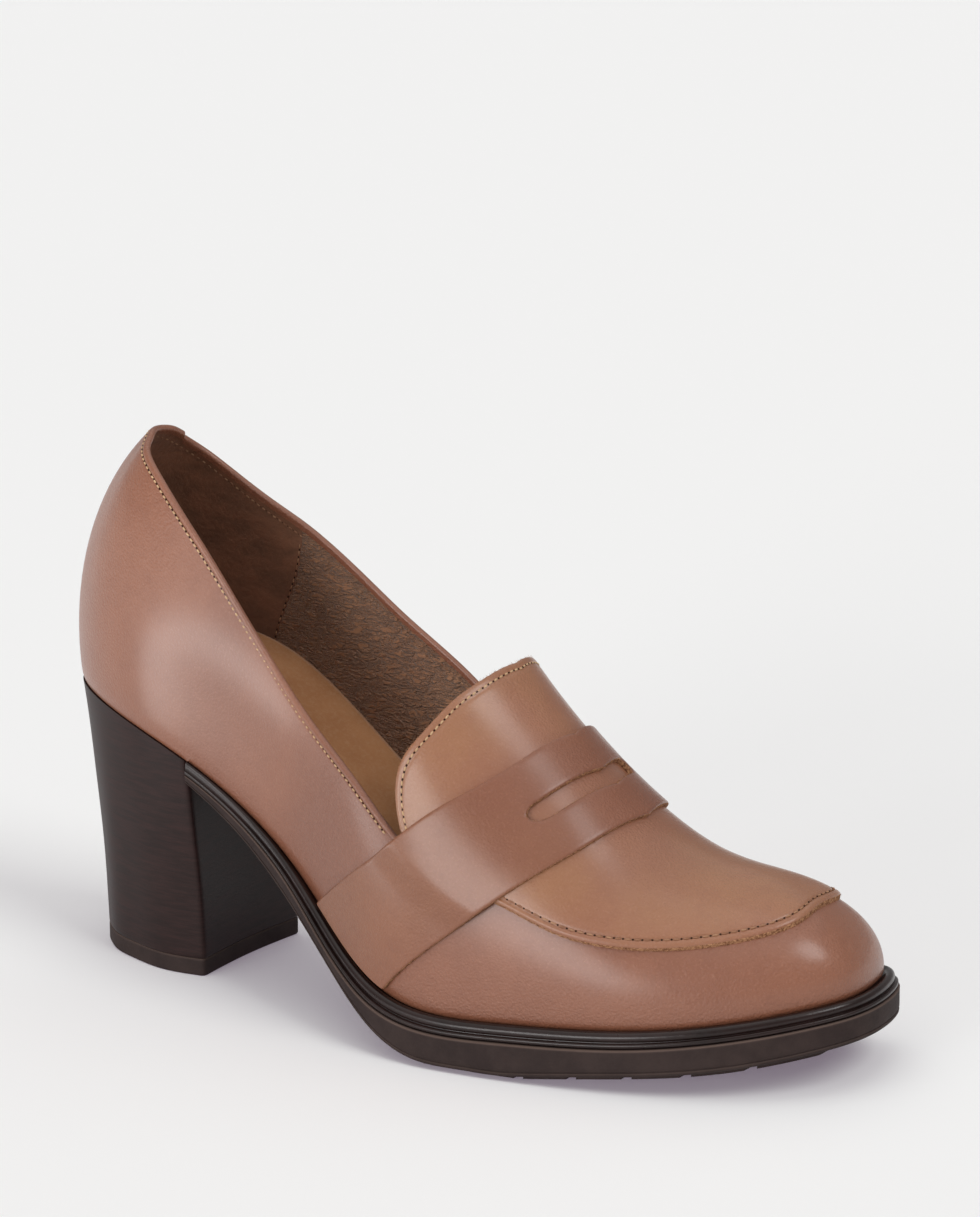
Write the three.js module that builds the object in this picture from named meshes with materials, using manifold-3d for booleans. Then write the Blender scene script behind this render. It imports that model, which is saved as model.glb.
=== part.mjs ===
// Loafer pump, right shoe. Millimetres, Z up, floor at z = 0.
// The toe points along +X and the outer side of the foot faces -Y.
// One last function gives every curved piece; each piece is a band or a plate cut from it.
import * as THREE from 'three';
import Module from 'manifold-3d';

const wasm = await Module();
wasm.setup();

// Driving sizes
const LAST_LENGTH = 243;
const BALL_WIDTH = 74;
const WALL = 1.8;
const CLEARANCE = 0.3;
const PLUG_THICKNESS = 1.3;
const STRAP_THICKNESS = 1.3;
const WELT_HEIGHT = 3.6;
const WELT_WAIST_HEIGHT = 3.1;
const WELT_PROJECTION = 4.0;
const SOLE_PROJECTION = 4.3;
const WAIST_PROJECTION = 1.3;
const FOOTBED_DISH = 2.4;
const LIFT_HEIGHT = 5.1;
const BREAST_TOP = 52;
const SOLE_START = 52.9;
const BREAST_HOLLOW = 1.2;
const HEEL_REAR = 10.4;
const PAD_DEPTH = 1.6;

// Stations round the last, heel back to toe tip, each used on both sides.
// along: share of the length. outer, inner: half widths as shares of the ball width.
// crown: where on the ridge the section ends, share of the length.
// flareOut, flareIn: how far the corner of the section stands out, mm. full: roundness.
const STATIONS = [
  { along: 0.000, outer: 0.000, inner: 0.000, crown: 0.215, flareOut: 13.0, flareIn: 13.0, full: 1.92 },
  { along: 0.022, outer: 0.130, inner: 0.150, crown: 0.215, flareOut: 10.0, flareIn: 11.0, full: 1.92 },
  { along: 0.090, outer: 0.261, inner: 0.265, crown: 0.225, flareOut: 6.3, flareIn: 6.4, full: 2.16 },
  { along: 0.200, outer: 0.330, inner: 0.315, crown: 0.260, flareOut: 3.8, flareIn: 3.1, full: 2.22 },
  { along: 0.360, outer: 0.335, inner: 0.301, crown: 0.370, flareOut: 6.0, flareIn: 7.4, full: 2.18 },
  { along: 0.520, outer: 0.515, inner: 0.359, crown: 0.520, flareOut: 2.4, flareIn: 7.6, full: 2.09 },
  { along: 0.660, outer: 0.492, inner: 0.445, crown: 0.655, flareOut: 4.7, flareIn: 4.9, full: 1.86 },
  { along: 0.800, outer: 0.371, inner: 0.513, crown: 0.768, flareOut: 4.5, flareIn: 3.2, full: 2.01 },
  { along: 0.910, outer: 0.196, inner: 0.529, crown: 0.828, flareOut: 3.0, flareIn: 4.3, full: 2.08 },
  { along: 0.975, outer: 0.000, inner: 0.480, crown: 0.853, flareOut: 4.6, flareIn: 1.6, full: 2.16 },
  { along: 1.000, outer: -0.208, inner: 0.220, crown: 0.860, flareOut: 2.9, flareIn: 2.9, full: 2.12 },
];

// Side views as x share of the length and height in mm
const FEATHER_LINE = {
  x: [0, 0.09, 0.20, 0.36, 0.52, 0.68, 0.84, 1],
  z: [73.9, 71.4, 64.1, 41.0, 17.4, 14.3, 17.3, 24.2],
};
const RIDGE_LINE = {
  x: [0.18, 0.275, 0.38, 0.477, 0.565, 0.642, 0.71, 0.787, 0.884],
  z: [159.2, 160.6, 144.2, 130.5, 105.3, 86.2, 71.0, 56.4, 50.3],
  y: [0, 0, 0, 0, 0.012, 0.008, 0.018, 0.092, 0.193],
};
const SOLE_LINE = {
  x: [0.20, 0.29, 0.36, 0.44, 0.52, 0.58, 0.64, 0.68, 0.72, 0.78, 0.90, 1.02],
  z: [59.3, 45.4, 32.6, 19.9, 7.3, 1.9, 1.3, 1.3, 2.3, 4.2, 7.9, 14.1],
};

// Collar line: share of the way up the section, at stations counted round the heel.
// Negative stations are on the inner side.
const COLLAR = {
  station: [-5.1, -4.5, -4, -3.5, -3, -2.5, -2, -1.5, -1, 0, 1, 1.5, 2, 2.5, 3, 3.5, 4, 4.5, 5.1],
  up: [
    0.356, 0.368, 0.373, 0.368, 0.390, 0.451, 0.524, 0.592, 0.647, 0.696,
    0.673, 0.638, 0.588, 0.520, 0.425, 0.329, 0.276, 0.268, 0.280,
  ],
};
const THROAT_FROM = 5.1;
const THROAT_TO = 5.75;

// Strap edges, as share of the length, against share of the way up the section
const STRAP_EDGE = {
  up: [0, 0.2, 0.4, 0.6, 0.8, 1],
  rear: [0.412, 0.511, 0.575, 0.625, 0.651, 0.662],
  front: [0.530, 0.615, 0.680, 0.722, 0.741, 0.750],
};
const STRAP_FOOT = 0.010;

// Apron seam: station round the toe against share up the section, inner side mirrored
const APRON_EDGE = {
  station: [5.08, 5.6, 6.0, 6.5, 7.0, 7.5, 8.0, 8.6, 9.3, 10],
  up: [0.302, 0.322, 0.336, 0.338, 0.378, 0.423, 0.467, 0.523, 0.596, 0.637],
};
// Tongue rear edge: share up the section against station
const TONGUE_EDGE = {
  up: [0.33, 0.36, 0.39, 0.45, 0.53, 0.61, 0.71, 0.79, 0.92, 1],
  station: [5.22, 5.15, 5.11, 5.11, 5.19, 5.27, 5.35, 5.41, 5.47, 5.49],
};

// Footbed edge: share up the section at stations from heel to toe
const FOOTBED = {
  station: [0, 1, 2, 3, 4, 5, 6, 8, 10],
  outer: [0.050, 0.050, 0.050, 0.050, 0.048, 0.038, 0.024, 0.014, 0.014],
  inner: [0.050, 0.075, 0.100, 0.114, 0.106, 0.072, 0.032, 0.014, 0.014],
};

// Slot in the strap: from and to along the strap (-1 outer foot, 0 ridge, 1 inner foot)
const SLOT = { from: -0.41, to: 0.24, halfWidth: 0.095, endRound: 0.06 };

// Foot of the heel: D shape seen from above, back to breast
const HEEL_FOOT = {
  x: [44.8, 32.3, 21, 12, 6, 1.6, 0, 1.6, 6, 12, 21, 32.3, 44.8],
  y: [-21.1, -23.1, -21.1, -18.1, -13.8, -8.5, 0, 8, 15, 19.1, 22.1, 23.4, 22.2],
};
// How much of the seat outline shows at each share of the heel height
const HEEL_BLEND = {
  up: [0, 0.18, 0.37, 0.60, 0.87, 1],
  seat: [0, 0.090, 0.228, 0.493, 0.815, 1],
};

function solve(matrix, right) {
  const n = right.length;
  const a = matrix.map((row, i) => [...row, right[i]]);
  for (let i = 0; i < n; i += 1) {
    let pivot = i;
    for (let r = i + 1; r < n; r += 1) {
      if (Math.abs(a[r][i]) > Math.abs(a[pivot][i])) pivot = r;
    }
    [a[i], a[pivot]] = [a[pivot], a[i]];
    for (let r = i + 1; r < n; r += 1) {
      const k = a[r][i] / a[i][i];
      for (let c = i; c <= n; c += 1) a[r][c] -= k * a[i][c];
    }
  }
  const out = new Array(n).fill(0);
  for (let i = n - 1; i >= 0; i -= 1) {
    let s = a[i][n];
    for (let c = i + 1; c < n; c += 1) s -= a[i][c] * out[c];
    out[i] = s / a[i][i];
  }
  return out;
}

// Cubic spline through a table, natural or closed; returns value and slope
function spline(xs, ys, closed = false) {
  const n = xs.length;
  const matrix = Array.from({ length: n }, () => new Array(n).fill(0));
  const right = new Array(n).fill(0);
  const h = (i) => xs[i + 1] - xs[i];
  const rise = (i) => (ys[i + 1] - ys[i]) / h(i);
  for (let i = 1; i < n - 1; i += 1) {
    matrix[i][i - 1] = h(i - 1);
    matrix[i][i] = 2 * (h(i - 1) + h(i));
    matrix[i][i + 1] = h(i);
    right[i] = 6 * (rise(i) - rise(i - 1));
  }
  matrix[0][0] = 1;
  matrix[n - 1][n - 1] = 1;
  if (closed) {
    matrix[0][n - 1] = -1;
    matrix[n - 1][n - 1] = 2 * h(n - 2);
    matrix[n - 1][n - 2] = h(n - 2);
    matrix[n - 1][0] = 2 * h(0);
    matrix[n - 1][1] = h(0);
    right[n - 1] = 6 * (rise(0) - rise(n - 2));
  }
  const m = solve(matrix, right);
  const span = xs[n - 1] - xs[0];
  return (x, wantSlope = false) => {
    let q = x;
    if (closed) q = xs[0] + ((((x - xs[0]) % span) + span) % span);
    const inside = Math.min(Math.max(q, xs[0]), xs[n - 1]);
    let i = 0;
    while (i < n - 2 && inside > xs[i + 1]) i += 1;
    const a = (xs[i + 1] - inside) / h(i);
    const b = 1 - a;
    const bend = ((a * a * a - a) * m[i] + (b * b * b - b) * m[i + 1]) * h(i) * h(i) / 6;
    const value = a * ys[i] + b * ys[i + 1] + bend;
    const turn = ((3 * b * b - 1) * m[i + 1] - (3 * a * a - 1) * m[i]) * h(i) / 6;
    const slope = rise(i) + turn;
    if (wantSlope) return slope;
    return value + slope * (q - inside);
  };
}

// Loop of stations: outer side 0 to TIP, inner side TIP to LOOP
const TIP = STATIONS.length - 1;
const LOOP = 2 * TIP;
const loopColumn = (outerSide, innerSide, scale) => {
  const there = STATIONS.map((s) => outerSide(s) * scale);
  const back = STATIONS.map((s) => innerSide(s) * scale).slice(1, TIP).reverse();
  const values = [...there, ...back, there[0]];
  return spline(values.map((_, i) => i), values, true);
};
const featherX = loopColumn((s) => s.along, (s) => s.along, LAST_LENGTH);
const featherY = loopColumn((s) => -s.outer, (s) => s.inner, BALL_WIDTH);
const crownX = loopColumn((s) => s.crown, (s) => s.crown, LAST_LENGTH);
const flare = loopColumn((s) => s.flareOut, (s) => s.flareIn, 1);
const fullness = loopColumn((s) => s.full, (s) => s.full, 1);
const sideView = (line, column, scale) => {
  const x = line.x.map((v) => v * LAST_LENGTH);
  return spline(x, line[column].map((v) => v * scale));
};
const featherZ = sideView(FEATHER_LINE, 'z', 1);
const ridgeZ = sideView(RIDGE_LINE, 'z', 1);
const ridgeY = sideView(RIDGE_LINE, 'y', BALL_WIDTH);
const soleZ = sideView(SOLE_LINE, 'z', 1);

const outward = (t) => {
  const dx = featherX(t, true);
  const dy = featherY(t, true);
  const size = Math.hypot(dx, dy);
  return [dy / size, -dx / size];
};

// Point on the last: t round the loop, w from 0 at the feather line to 1 on the ridge
function last(t, w) {
  const n = outward(t);
  const bx = featherX(t);
  const by = featherY(t);
  const bz = featherZ(bx);
  const rx = crownX(t);
  const ry = ridgeY(rx);
  const rz = ridgeZ(rx);
  const f = flare(t);
  const cx = bx + n[0] * f;
  const cy = by + n[1] * f;
  const cz = rz + ridgeZ(rx, true) * (cx - rx);
  const power = 2 / fullness(t);
  const angle = Math.min(Math.max(w, 0), 1) * Math.PI / 2;
  const c = Math.max(Math.cos(angle), 0) ** power;
  const s = Math.max(Math.sin(angle), 0) ** power;
  const foot = [bx, by, bz];
  const ridge = [rx, ry, rz];
  const corner = [cx, cy, cz];
  return foot.map((v, i) => {
    const inner = v + ridge[i] - corner[i];
    return inner + c * (v - inner) + s * (ridge[i] - inner);
  });
}

const minus = (a, b) => [a[0] - b[0], a[1] - b[1], a[2] - b[2]];
const cross = (a, b) => [a[1] * b[2] - a[2] * b[1], a[2] * b[0] - a[0] * b[2], a[0] * b[1] - a[1] * b[0]];
const unit = (a) => {
  const size = Math.hypot(...a);
  return a.map((v) => v / size);
};
const mix = (a, b, k) => a + (b - a) * k;
const smooth = (k) => {
  const q = Math.min(Math.max(k, 0), 1);
  return q * q * (3 - 2 * q);
};

function lastNormal(t, w) {
  const slope = ridgeZ(crownX(t), true);
  const top = unit([-slope, 0, 1]);
  if (w > 0.999) return top;
  const step = 0.012;
  const along = minus(last(t + step, w), last(t - step, w));
  const up = minus(last(t, Math.min(w + step, 1)), last(t, Math.max(w - step, 0)));
  const n = unit(cross(along, up));
  const near = smooth((w - 0.93) / 0.07);
  return unit(n.map((v, i) => mix(v, top[i], near)));
}

function offsetLast(t, w, off) {
  const p = last(t, w);
  const n = lastNormal(t, w);
  return [p[0] + n[0] * off, p[1] + n[1] * off, p[2] + n[2] * off];
}

// Mesh building
class Body {
  constructor() {
    this.points = [];
    this.faces = [];
  }

  grid(rows, flip = false) {
    const base = this.points.length;
    const wide = rows[0].length;
    rows.forEach((row) => row.forEach((p) => this.points.push(p)));
    for (let i = 0; i < rows.length - 1; i += 1) {
      for (let j = 0; j < wide - 1; j += 1) {
        const a = base + i * wide + j;
        const b = a + 1;
        const c = a + wide + 1;
        const d = a + wide;
        if (flip) this.faces.push([a, b, c], [a, c, d]);
        else this.faces.push([a, c, b], [a, d, c]);
      }
    }
  }

  solid() {
    const key = (p) => p.map((v) => Math.round(v * 2000)).join(' ');
    const seen = new Map();
    const index = this.points.map((p) => {
      const k = key(p);
      if (!seen.has(k)) seen.set(k, seen.size);
      return seen.get(k);
    });
    const points = new Float32Array(seen.size * 3);
    this.points.forEach((p, i) => points.set(p, index[i] * 3));
    const faces = [];
    this.faces.forEach((f) => {
      const [a, b, c] = f.map((i) => index[i]);
      if (a !== b && b !== c && c !== a) faces.push(a, b, c);
    });
    let volume = 0;
    const at = (i) => [points[i * 3], points[i * 3 + 1], points[i * 3 + 2]];
    for (let i = 0; i < faces.length; i += 3) {
      const [a, b, c] = [at(faces[i]), at(faces[i + 1]), at(faces[i + 2])];
      const n = cross(b, c);
      volume += a[0] * n[0] + a[1] * n[1] + a[2] * n[2];
    }
    if (volume < 0) faces.reverse();
    const triVerts = new Uint32Array(faces);
    return new wasm.Manifold(new wasm.Mesh({ numProp: 3, vertProperties: points, triVerts }));
  }
}

const steps = (from, to, count) => Array.from({ length: count + 1 }, (_, i) => mix(from, to, i / count));

// Upper: one hollow wall, open at the collar and underneath
const collar = spline(COLLAR.station, COLLAR.up);
function upperTop(t) {
  const side = t > TIP ? t - LOOP : t;
  const turn = Math.abs(side);
  if (turn <= THROAT_FROM) return collar(side);
  if (turn >= THROAT_TO) return 1;
  const k = (turn - THROAT_FROM) / (THROAT_TO - THROAT_FROM);
  const start = collar(Math.sign(side) * THROAT_FROM);
  return mix(start, 1, 1 - Math.sqrt(1 - k * k));
}

function upperSolid() {
  const body = new Body();
  const RISE = 11;
  const RIM = 3;
  const throat = [0.25, 0.5, 0.7, 0.85, 0.95].map((k) => mix(THROAT_FROM, THROAT_TO, k));
  const half = [...steps(0, THROAT_FROM, 21), ...throat, ...steps(THROAT_TO, TIP, 17)];
  const loop = [...half, ...half.slice(0, -1).reverse().map((t) => LOOP - t)];
  const rows = loop.map((t) => {
    const top = upperTop(t);
    const row = [];
    for (let j = 0; j <= RISE; j += 1) row.push(offsetLast(t, top * j / RISE, 0));
    const outerEdge = row[RISE];
    const innerEdge = offsetLast(t, top, -WALL);
    const n = lastNormal(t, top);
    const below = last(t, Math.max(top - 0.02, 0));
    const rise = unit(minus(outerEdge, below));
    const closed = top >= 1;
    for (let k = 1; k < RIM; k += 1) {
      const turn = Math.PI * k / RIM;
      const depth = WALL * (1 - Math.cos(turn)) / 2;
      const lift = closed ? 0 : WALL * 0.45 * Math.sin(turn);
      row.push(outerEdge.map((v, i) => v - n[i] * depth + rise[i] * lift));
    }
    row.push(innerEdge);
    for (let j = RISE - 1; j >= 0; j -= 1) row.push(offsetLast(t, top * j / RISE, -WALL));
    row.push(row[0]);
    return { row, closed };
  });
  const skin = (from, to) => {
    for (let i = 0; i < rows.length - 1; i += 1) {
      body.grid([rows[i].row.slice(from, to + 1), rows[i + 1].row.slice(from, to + 1)]);
    }
  };
  skin(0, RISE);
  skin(RISE + RIM, 2 * RISE + RIM + 1);
  for (let i = 0; i < rows.length - 1; i += 1) {
    if (rows[i].closed && rows[i + 1].closed) continue;
    body.grid([rows[i].row.slice(RISE, RISE + RIM + 1), rows[i + 1].row.slice(RISE, RISE + RIM + 1)]);
  }
  return body.solid();
}

// Band laid on the last between two skins; rows run across it, each row closes on itself
function bandSolid(outerRows, innerRows) {
  const body = new Body();
  body.grid(outerRows);
  body.grid(innerRows, true);
  const end = outerRows.length - 1;
  const lastColumn = outerRows[0].length - 1;
  body.grid([outerRows[0], innerRows[0]], true);
  body.grid([outerRows[end], innerRows[end]]);
  body.grid([outerRows.map((r) => r[0]), innerRows.map((r) => r[0])]);
  body.grid([outerRows.map((r) => r[lastColumn]), innerRows.map((r) => r[lastColumn])], true);
  return body.solid();
}

// Plug: apron over the toe and tongue in one piece, edge rounded a little
// The seam is the same on both sides of the toe tip, so its table is mirrored there
const pastTip = APRON_EDGE.station.slice(0, -1).reverse().map((station) => LOOP - station);
const pastTipUp = APRON_EDGE.up.slice(0, -1).reverse();
const apronEdge = spline([...APRON_EDGE.station, ...pastTip], [...APRON_EDGE.up, ...pastTipUp]);
const tongueEdge = spline(TONGUE_EDGE.up, TONGUE_EDGE.station);
const TONGUE_FADE = 2.4;
function plugPoint(k, s) {
  const start = APRON_EDGE.station[0];
  const edge = apronEdge(k);
  const w = mix(edge, 1, s);
  const fade = 1 - smooth((k - start) / TONGUE_FADE);
  const shift = (tongueEdge(mix(TONGUE_EDGE.up[0], 1, s)) - start) * fade;
  return [k + shift * (k < TIP ? 1 : 0), w];
}
function plugSolid() {
  const ACROSS = 7;
  const start = APRON_EDGE.station[0];
  const half = [...steps(start, 7.4, 12), ...steps(7.4, TIP, 10).slice(1)];
  const make = (off, inset) => half.map((k) => steps(0, 1, ACROSS).map((s) => {
    const [t, w] = plugPoint(k, s);
    return [t, s === 0 ? w + inset : w, off];
  }));
  const body = new Body();
  const skin = (off, inset, flip) => {
    const outer = make(off, inset).map((row) => row.map(([t, w, o]) => offsetLast(t, w, o)));
    const inner = make(off, inset).map((row) => row.map(([t, w, o]) => offsetLast(LOOP - t, w, o)));
    body.grid(outer, flip);
    body.grid(inner, !flip);
    return [outer, inner];
  };
  const base = skin(CLEARANCE, 0, true);
  const top = skin(CLEARANCE + PLUG_THICKNESS, 0.006, false);
  [0, 1].forEach((side) => {
    const rim = [top[side].map((r) => r[0]), base[side].map((r) => r[0])];
    body.grid(rim, side === 1);
    body.grid([top[side][0], base[side][0]], side === 0);
  });
  return body.solid();
}

// Strap: from the outer foot over the ridge to the inner foot
const strapRear = spline(STRAP_EDGE.up, STRAP_EDGE.rear.map((v) => v * LAST_LENGTH));
const strapFront = spline(STRAP_EDGE.up, STRAP_EDGE.front.map((v) => v * LAST_LENGTH));
function stationAt(w, x, side) {
  let low = 3;
  let high = 9;
  for (let i = 0; i < 40; i += 1) {
    const t = (low + high) / 2;
    if (last(side < 0 ? t : LOOP - t, w)[0] < x) low = t;
    else high = t;
  }
  const t = (low + high) / 2;
  return side < 0 ? t : LOOP - t;
}
// a: -1 outer foot, 0 ridge, 1 inner foot. b: 0 rear edge, 1 front edge
function strapPoint(a, b, off) {
  const w = mix(1, STRAP_FOOT, Math.abs(a));
  const side = a <= 0 ? -1 : 1;
  const x = mix(strapRear(w), strapFront(w), b);
  const lifted = PLUG_THICKNESS + CLEARANCE;
  const over = CLEARANCE + lifted * smooth((w - 0.20) / 0.09);
  return offsetLast(stationAt(w, x, side), w, over + off);
}
function strapSolid() {
  const along = [...steps(-1, -0.6, 10), ...steps(-0.6, 0.6, 22).slice(1, -1), ...steps(0.6, 1, 10)];
  const across = steps(0, 1, 6);
  const layer = (off) => along.map((a) => across.map((b) => strapPoint(a, b, off)));
  const band = bandSolid(layer(STRAP_THICKNESS), layer(0));
  const slotAlong = steps(SLOT.from, SLOT.to, 22);
  const cutLayer = (off) => slotAlong.map((a) => {
    const end = Math.min(a - SLOT.from, SLOT.to - a) / SLOT.endRound;
    const k = Math.min(end, 1);
    const half = SLOT.halfWidth * Math.sqrt(Math.max(1 - (1 - k) ** 2, 0.02));
    return [-1, 0, 1].map((q) => strapPoint(a, 0.5 + q * half, off));
  });
  const cutter = bandSolid(cutLayer(STRAP_THICKNESS + 1), cutLayer(-0.5));
  return band.subtract(cutter);
}

// Plates: rows pair a station with its mirror, levels run down the side
const levelPoint = (t, off, height) => {
  const n = outward(t);
  const x = featherX(t) + n[0] * off;
  return [x, featherY(t) + n[1] * off, height(x)];
};
function plateSolid(stations, across, levels, openRear) {
  const body = new Body();
  const side = levels.map((level) => ({
    outer: stations.map((t) => levelPoint(t, level.off(featherX(t)), level.height)),
    inner: stations.map((t) => levelPoint(LOOP - t, level.off(featherX(t)), level.height)),
  }));
  const span = (l, i) => steps(0, 1, across).map((k) => {
    const a = side[l].outer[i];
    const b = side[l].inner[i];
    const x = mix(a[0], b[0], k);
    return [x, mix(a[1], b[1], k), levels[l].height(x)];
  });
  const bottom = levels.length - 1;
  body.grid(stations.map((_, i) => span(0, i)));
  body.grid(stations.map((_, i) => span(bottom, i)), true);
  body.grid(side.map((s) => s.outer));
  body.grid(side.map((s) => s.inner), true);
  if (openRear) body.grid(levels.map((_, l) => span(l, 0)), true);
  return body.solid();
}
function stationForX(x) {
  let low = 1;
  let high = 8;
  for (let i = 0; i < 40; i += 1) {
    const t = (low + high) / 2;
    if (featherX(t) < x) low = t;
    else high = t;
  }
  return low;
}
const breastStation = stationForX(SOLE_START);
const frontStations = [...steps(breastStation, 7, 16), ...steps(7, TIP, 14).slice(1)];
const waist = (x) => smooth((x / LAST_LENGTH - 0.22) / 0.24);
const weltDepth = (x) => mix(WELT_WAIST_HEIGHT, WELT_HEIGHT, waist(x));

// Welt: bead above a groove above a flat band, as share of projection and of depth
const WELT_PROFILE = [
  { out: -0.13, down: 0.07 },
  { out: 0.06, down: 0.06 },
  { out: 0.30, down: -0.10 },
  { out: 0.50, down: -0.06 },
  { out: 0.66, down: 0.08 },
  { out: 0.74, down: 0.28 },
  { out: 0.74, down: 0.48 },
  { out: 0.68, down: 0.60 },
  { out: 0.90, down: 0.68 },
  { out: 0.97, down: 0.76 },
  { out: 0.97, down: 0.94 },
  { out: 0.88, down: 1.00 },
];
function weltSolid() {
  const levels = WELT_PROFILE.map((p) => ({
    off: (x) => p.out * mix(WAIST_PROJECTION, WELT_PROJECTION, waist(x)),
    height: (x) => featherZ(x) - p.down * weltDepth(x),
  }));
  return plateSolid(frontStations, 3, levels, true);
}

// Outsole: fine edge above, plain side, grip line near the floor
const SOLE_PROFILE = [
  { out: -0.7, fromTop: 0 },
  { out: -0.1, fromTop: 0.25 },
  { out: 0, fromTop: 0.6 },
  { out: 0, fromFloor: 1.7 },
  { out: -0.35, fromFloor: 1.45 },
  { out: -0.35, fromFloor: 1.15 },
  { out: -0.05, fromFloor: 0.9 },
  { out: -0.15, fromFloor: 0.4 },
  { out: -0.7, fromFloor: 0 },
];
const soleTop = (x) => featherZ(x) - weltDepth(x) - CLEARANCE;
const soleOut = (x) => mix(WAIST_PROJECTION, SOLE_PROJECTION, waist(x));
function outsoleSolid() {
  const squeeze = (x) => Math.min(1, (soleTop(x) - soleZ(x)) / 5);
  const levels = SOLE_PROFILE.map((p) => ({
    off: (x) => soleOut(x) + p.out,
    height: (x) => {
      if (p.fromTop === undefined) return soleZ(x) + p.fromFloor * squeeze(x);
      return soleTop(x) - p.fromTop * squeeze(x);
    },
  }));
  const plate = plateSolid(frontStations, 3, levels, true);
  const PAD_INSET = 3.0;
  const padFloor = (x) => Math.max(0, soleZ(x) - PAD_DEPTH);
  const padStations = [...steps(stationForX(0.50 * LAST_LENGTH), 7, 8), ...steps(7, TIP, 9).slice(1)];
  const pads = plateSolid(padStations, 1, [
    { off: (x) => soleOut(x) - PAD_INSET, height: (x) => soleZ(x) + 0.8 },
    { off: (x) => soleOut(x) - PAD_INSET, height: padFloor },
  ], true);
  const BAR = 11.5;
  const GAP = 2.6;
  const bars = [];
  for (let x = 0.53 * LAST_LENGTH; x < 0.95 * LAST_LENGTH; x += BAR + GAP) {
    bars.push(wasm.Manifold.cube([BAR, 200, 60]).translate([x, -100, -10]));
  }
  return plate.add(pads.intersect(wasm.Manifold.union(bars)));
}

// Footbed: its edge climbs the wall, most under the arch, and its middle is dished
function insoleSolid() {
  const body = new Body();
  const ACROSS = 3;
  const inset = -(WALL + CLEARANCE);
  const stations = steps(0, TIP, 34);
  const levels = [1, 0.55, 0];
  const sides = [FOOTBED.outer, FOOTBED.inner].map((table, mirrored) => {
    const up = spline(FOOTBED.station, table);
    return levels.map((level) => stations.map((t) => {
      const place = mirrored ? LOOP - t : t;
      if (level === 0) return levelPoint(place, inset, (x) => featherZ(x) + CLEARANCE);
      return offsetLast(place, up(t) * level, inset - 2 * CLEARANCE);
    }));
  });
  const span = (l, i) => steps(0, 1, ACROSS).map((k) => {
    const a = sides[0][l][i];
    const b = sides[1][l][i];
    const p = a.map((v, axis) => mix(v, b[axis], k));
    const wide = Math.min(1, Math.abs(b[1] - a[1]) / (BALL_WIDTH / 2));
    if (l === 0) return [p[0], p[1], p[2] - FOOTBED_DISH * wide * 4 * k * (1 - k)];
    return [p[0], p[1], featherZ(p[0]) + CLEARANCE];
  });
  const bottom = levels.length - 1;
  body.grid(stations.map((_, i) => span(0, i)));
  body.grid(stations.map((_, i) => span(bottom, i)), true);
  body.grid(sides[0]);
  body.grid(sides[1], true);
  return body.solid();
}

// Heel block: D foot blended up to the seat outline
const evenly = (points, count) => {
  const reach = [0];
  for (let i = 1; i < points.length; i += 1) {
    reach.push(reach[i - 1] + Math.hypot(points[i][0] - points[i - 1][0], points[i][1] - points[i - 1][1]));
  }
  const fx = spline(reach, points.map((p) => p[0]));
  const fy = spline(reach, points.map((p) => p[1]));
  return steps(0, reach[reach.length - 1], count).map((s) => [fx(s), fy(s)]);
};
const HEEL_HALF = 14;
const HEEL_ROUND = 2 * HEEL_HALF;
const footX = spline(HEEL_FOOT.x.map((_, i) => i), HEEL_FOOT.x);
const footY = spline(HEEL_FOOT.y.map((_, i) => i), HEEL_FOOT.y);
const footPoints = steps(0, HEEL_FOOT.x.length - 1, 60).map((k) => [HEEL_REAR + footX(k), footY(k)]);
const footCurve = evenly(footPoints, HEEL_ROUND);
const seatEdge = stationForX(BREAST_TOP);
const seatCurve = evenly(steps(seatEdge, -seatEdge, 60).map((t) => [featherX(t), featherY(t)]), HEEL_ROUND);
const heelBlend = spline(HEEL_BLEND.up, HEEL_BLEND.seat);
const heelTop = (x) => featherZ(x) - CLEARANCE;
function heelRing(share, zBottom) {
  const k = heelBlend(share);
  return footCurve.map((foot, i) => {
    const seat = seatCurve[i];
    const top = heelTop(seat[0]);
    return [mix(foot[0], seat[0], k), mix(foot[1], seat[1], k), mix(zBottom, top, share)];
  });
}
function blockSolid(rings, across, capTop, capBottom) {
  const body = new Body();
  const front = rings.map((ring) => steps(0, 1, across).map((k) => {
    const a = ring[0];
    const b = ring[ring.length - 1];
    const hollow = BREAST_HOLLOW * Math.sin(Math.PI * k);
    return [mix(a[0], b[0], k) - hollow, mix(a[1], b[1], k), mix(a[2], b[2], k)];
  }));
  body.grid(rings, true);
  body.grid(front);
  const cap = (ring, frontRow, height, flip) => {
    const rows = [frontRow];
    for (let i = 1; i <= HEEL_HALF; i += 1) {
      const a = ring[i];
      const b = ring[HEEL_ROUND - i];
      rows.push(steps(0, 1, across).map((k) => {
        const x = mix(a[0], b[0], k);
        return [x, mix(a[1], b[1], k), k === 0 || k === 1 ? mix(a[2], b[2], k) : height(x)];
      }));
    }
    body.grid(rows, flip);
  };
  cap(rings[0], front[0], capBottom, true);
  cap(rings[rings.length - 1], front[rings.length - 1], capTop, false);
  return body.solid();
}
function heelSolid() {
  const rings = steps(0, 1, 8).map((s) => heelRing(s, LIFT_HEIGHT));
  const frontTop = rings[rings.length - 1];
  frontTop[0][2] = heelTop(frontTop[0][0]);
  return blockSolid(rings, 4, heelTop, () => LIFT_HEIGHT);
}
const LIFT_CENTRE = 24;
function liftSolid() {
  const ring = (z, inset) => footCurve.map(([x, y]) => {
    const cx = HEEL_REAR + LIFT_CENTRE;
    const k = 1 - inset / LIFT_CENTRE;
    return [cx + (x - cx) * k, y * k, z];
  });
  const rings = [ring(0, 0.5), ring(0.5, 0), ring(LIFT_HEIGHT, 0)];
  return blockSolid(rings, 4, () => LIFT_HEIGHT, () => 0);
}

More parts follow.
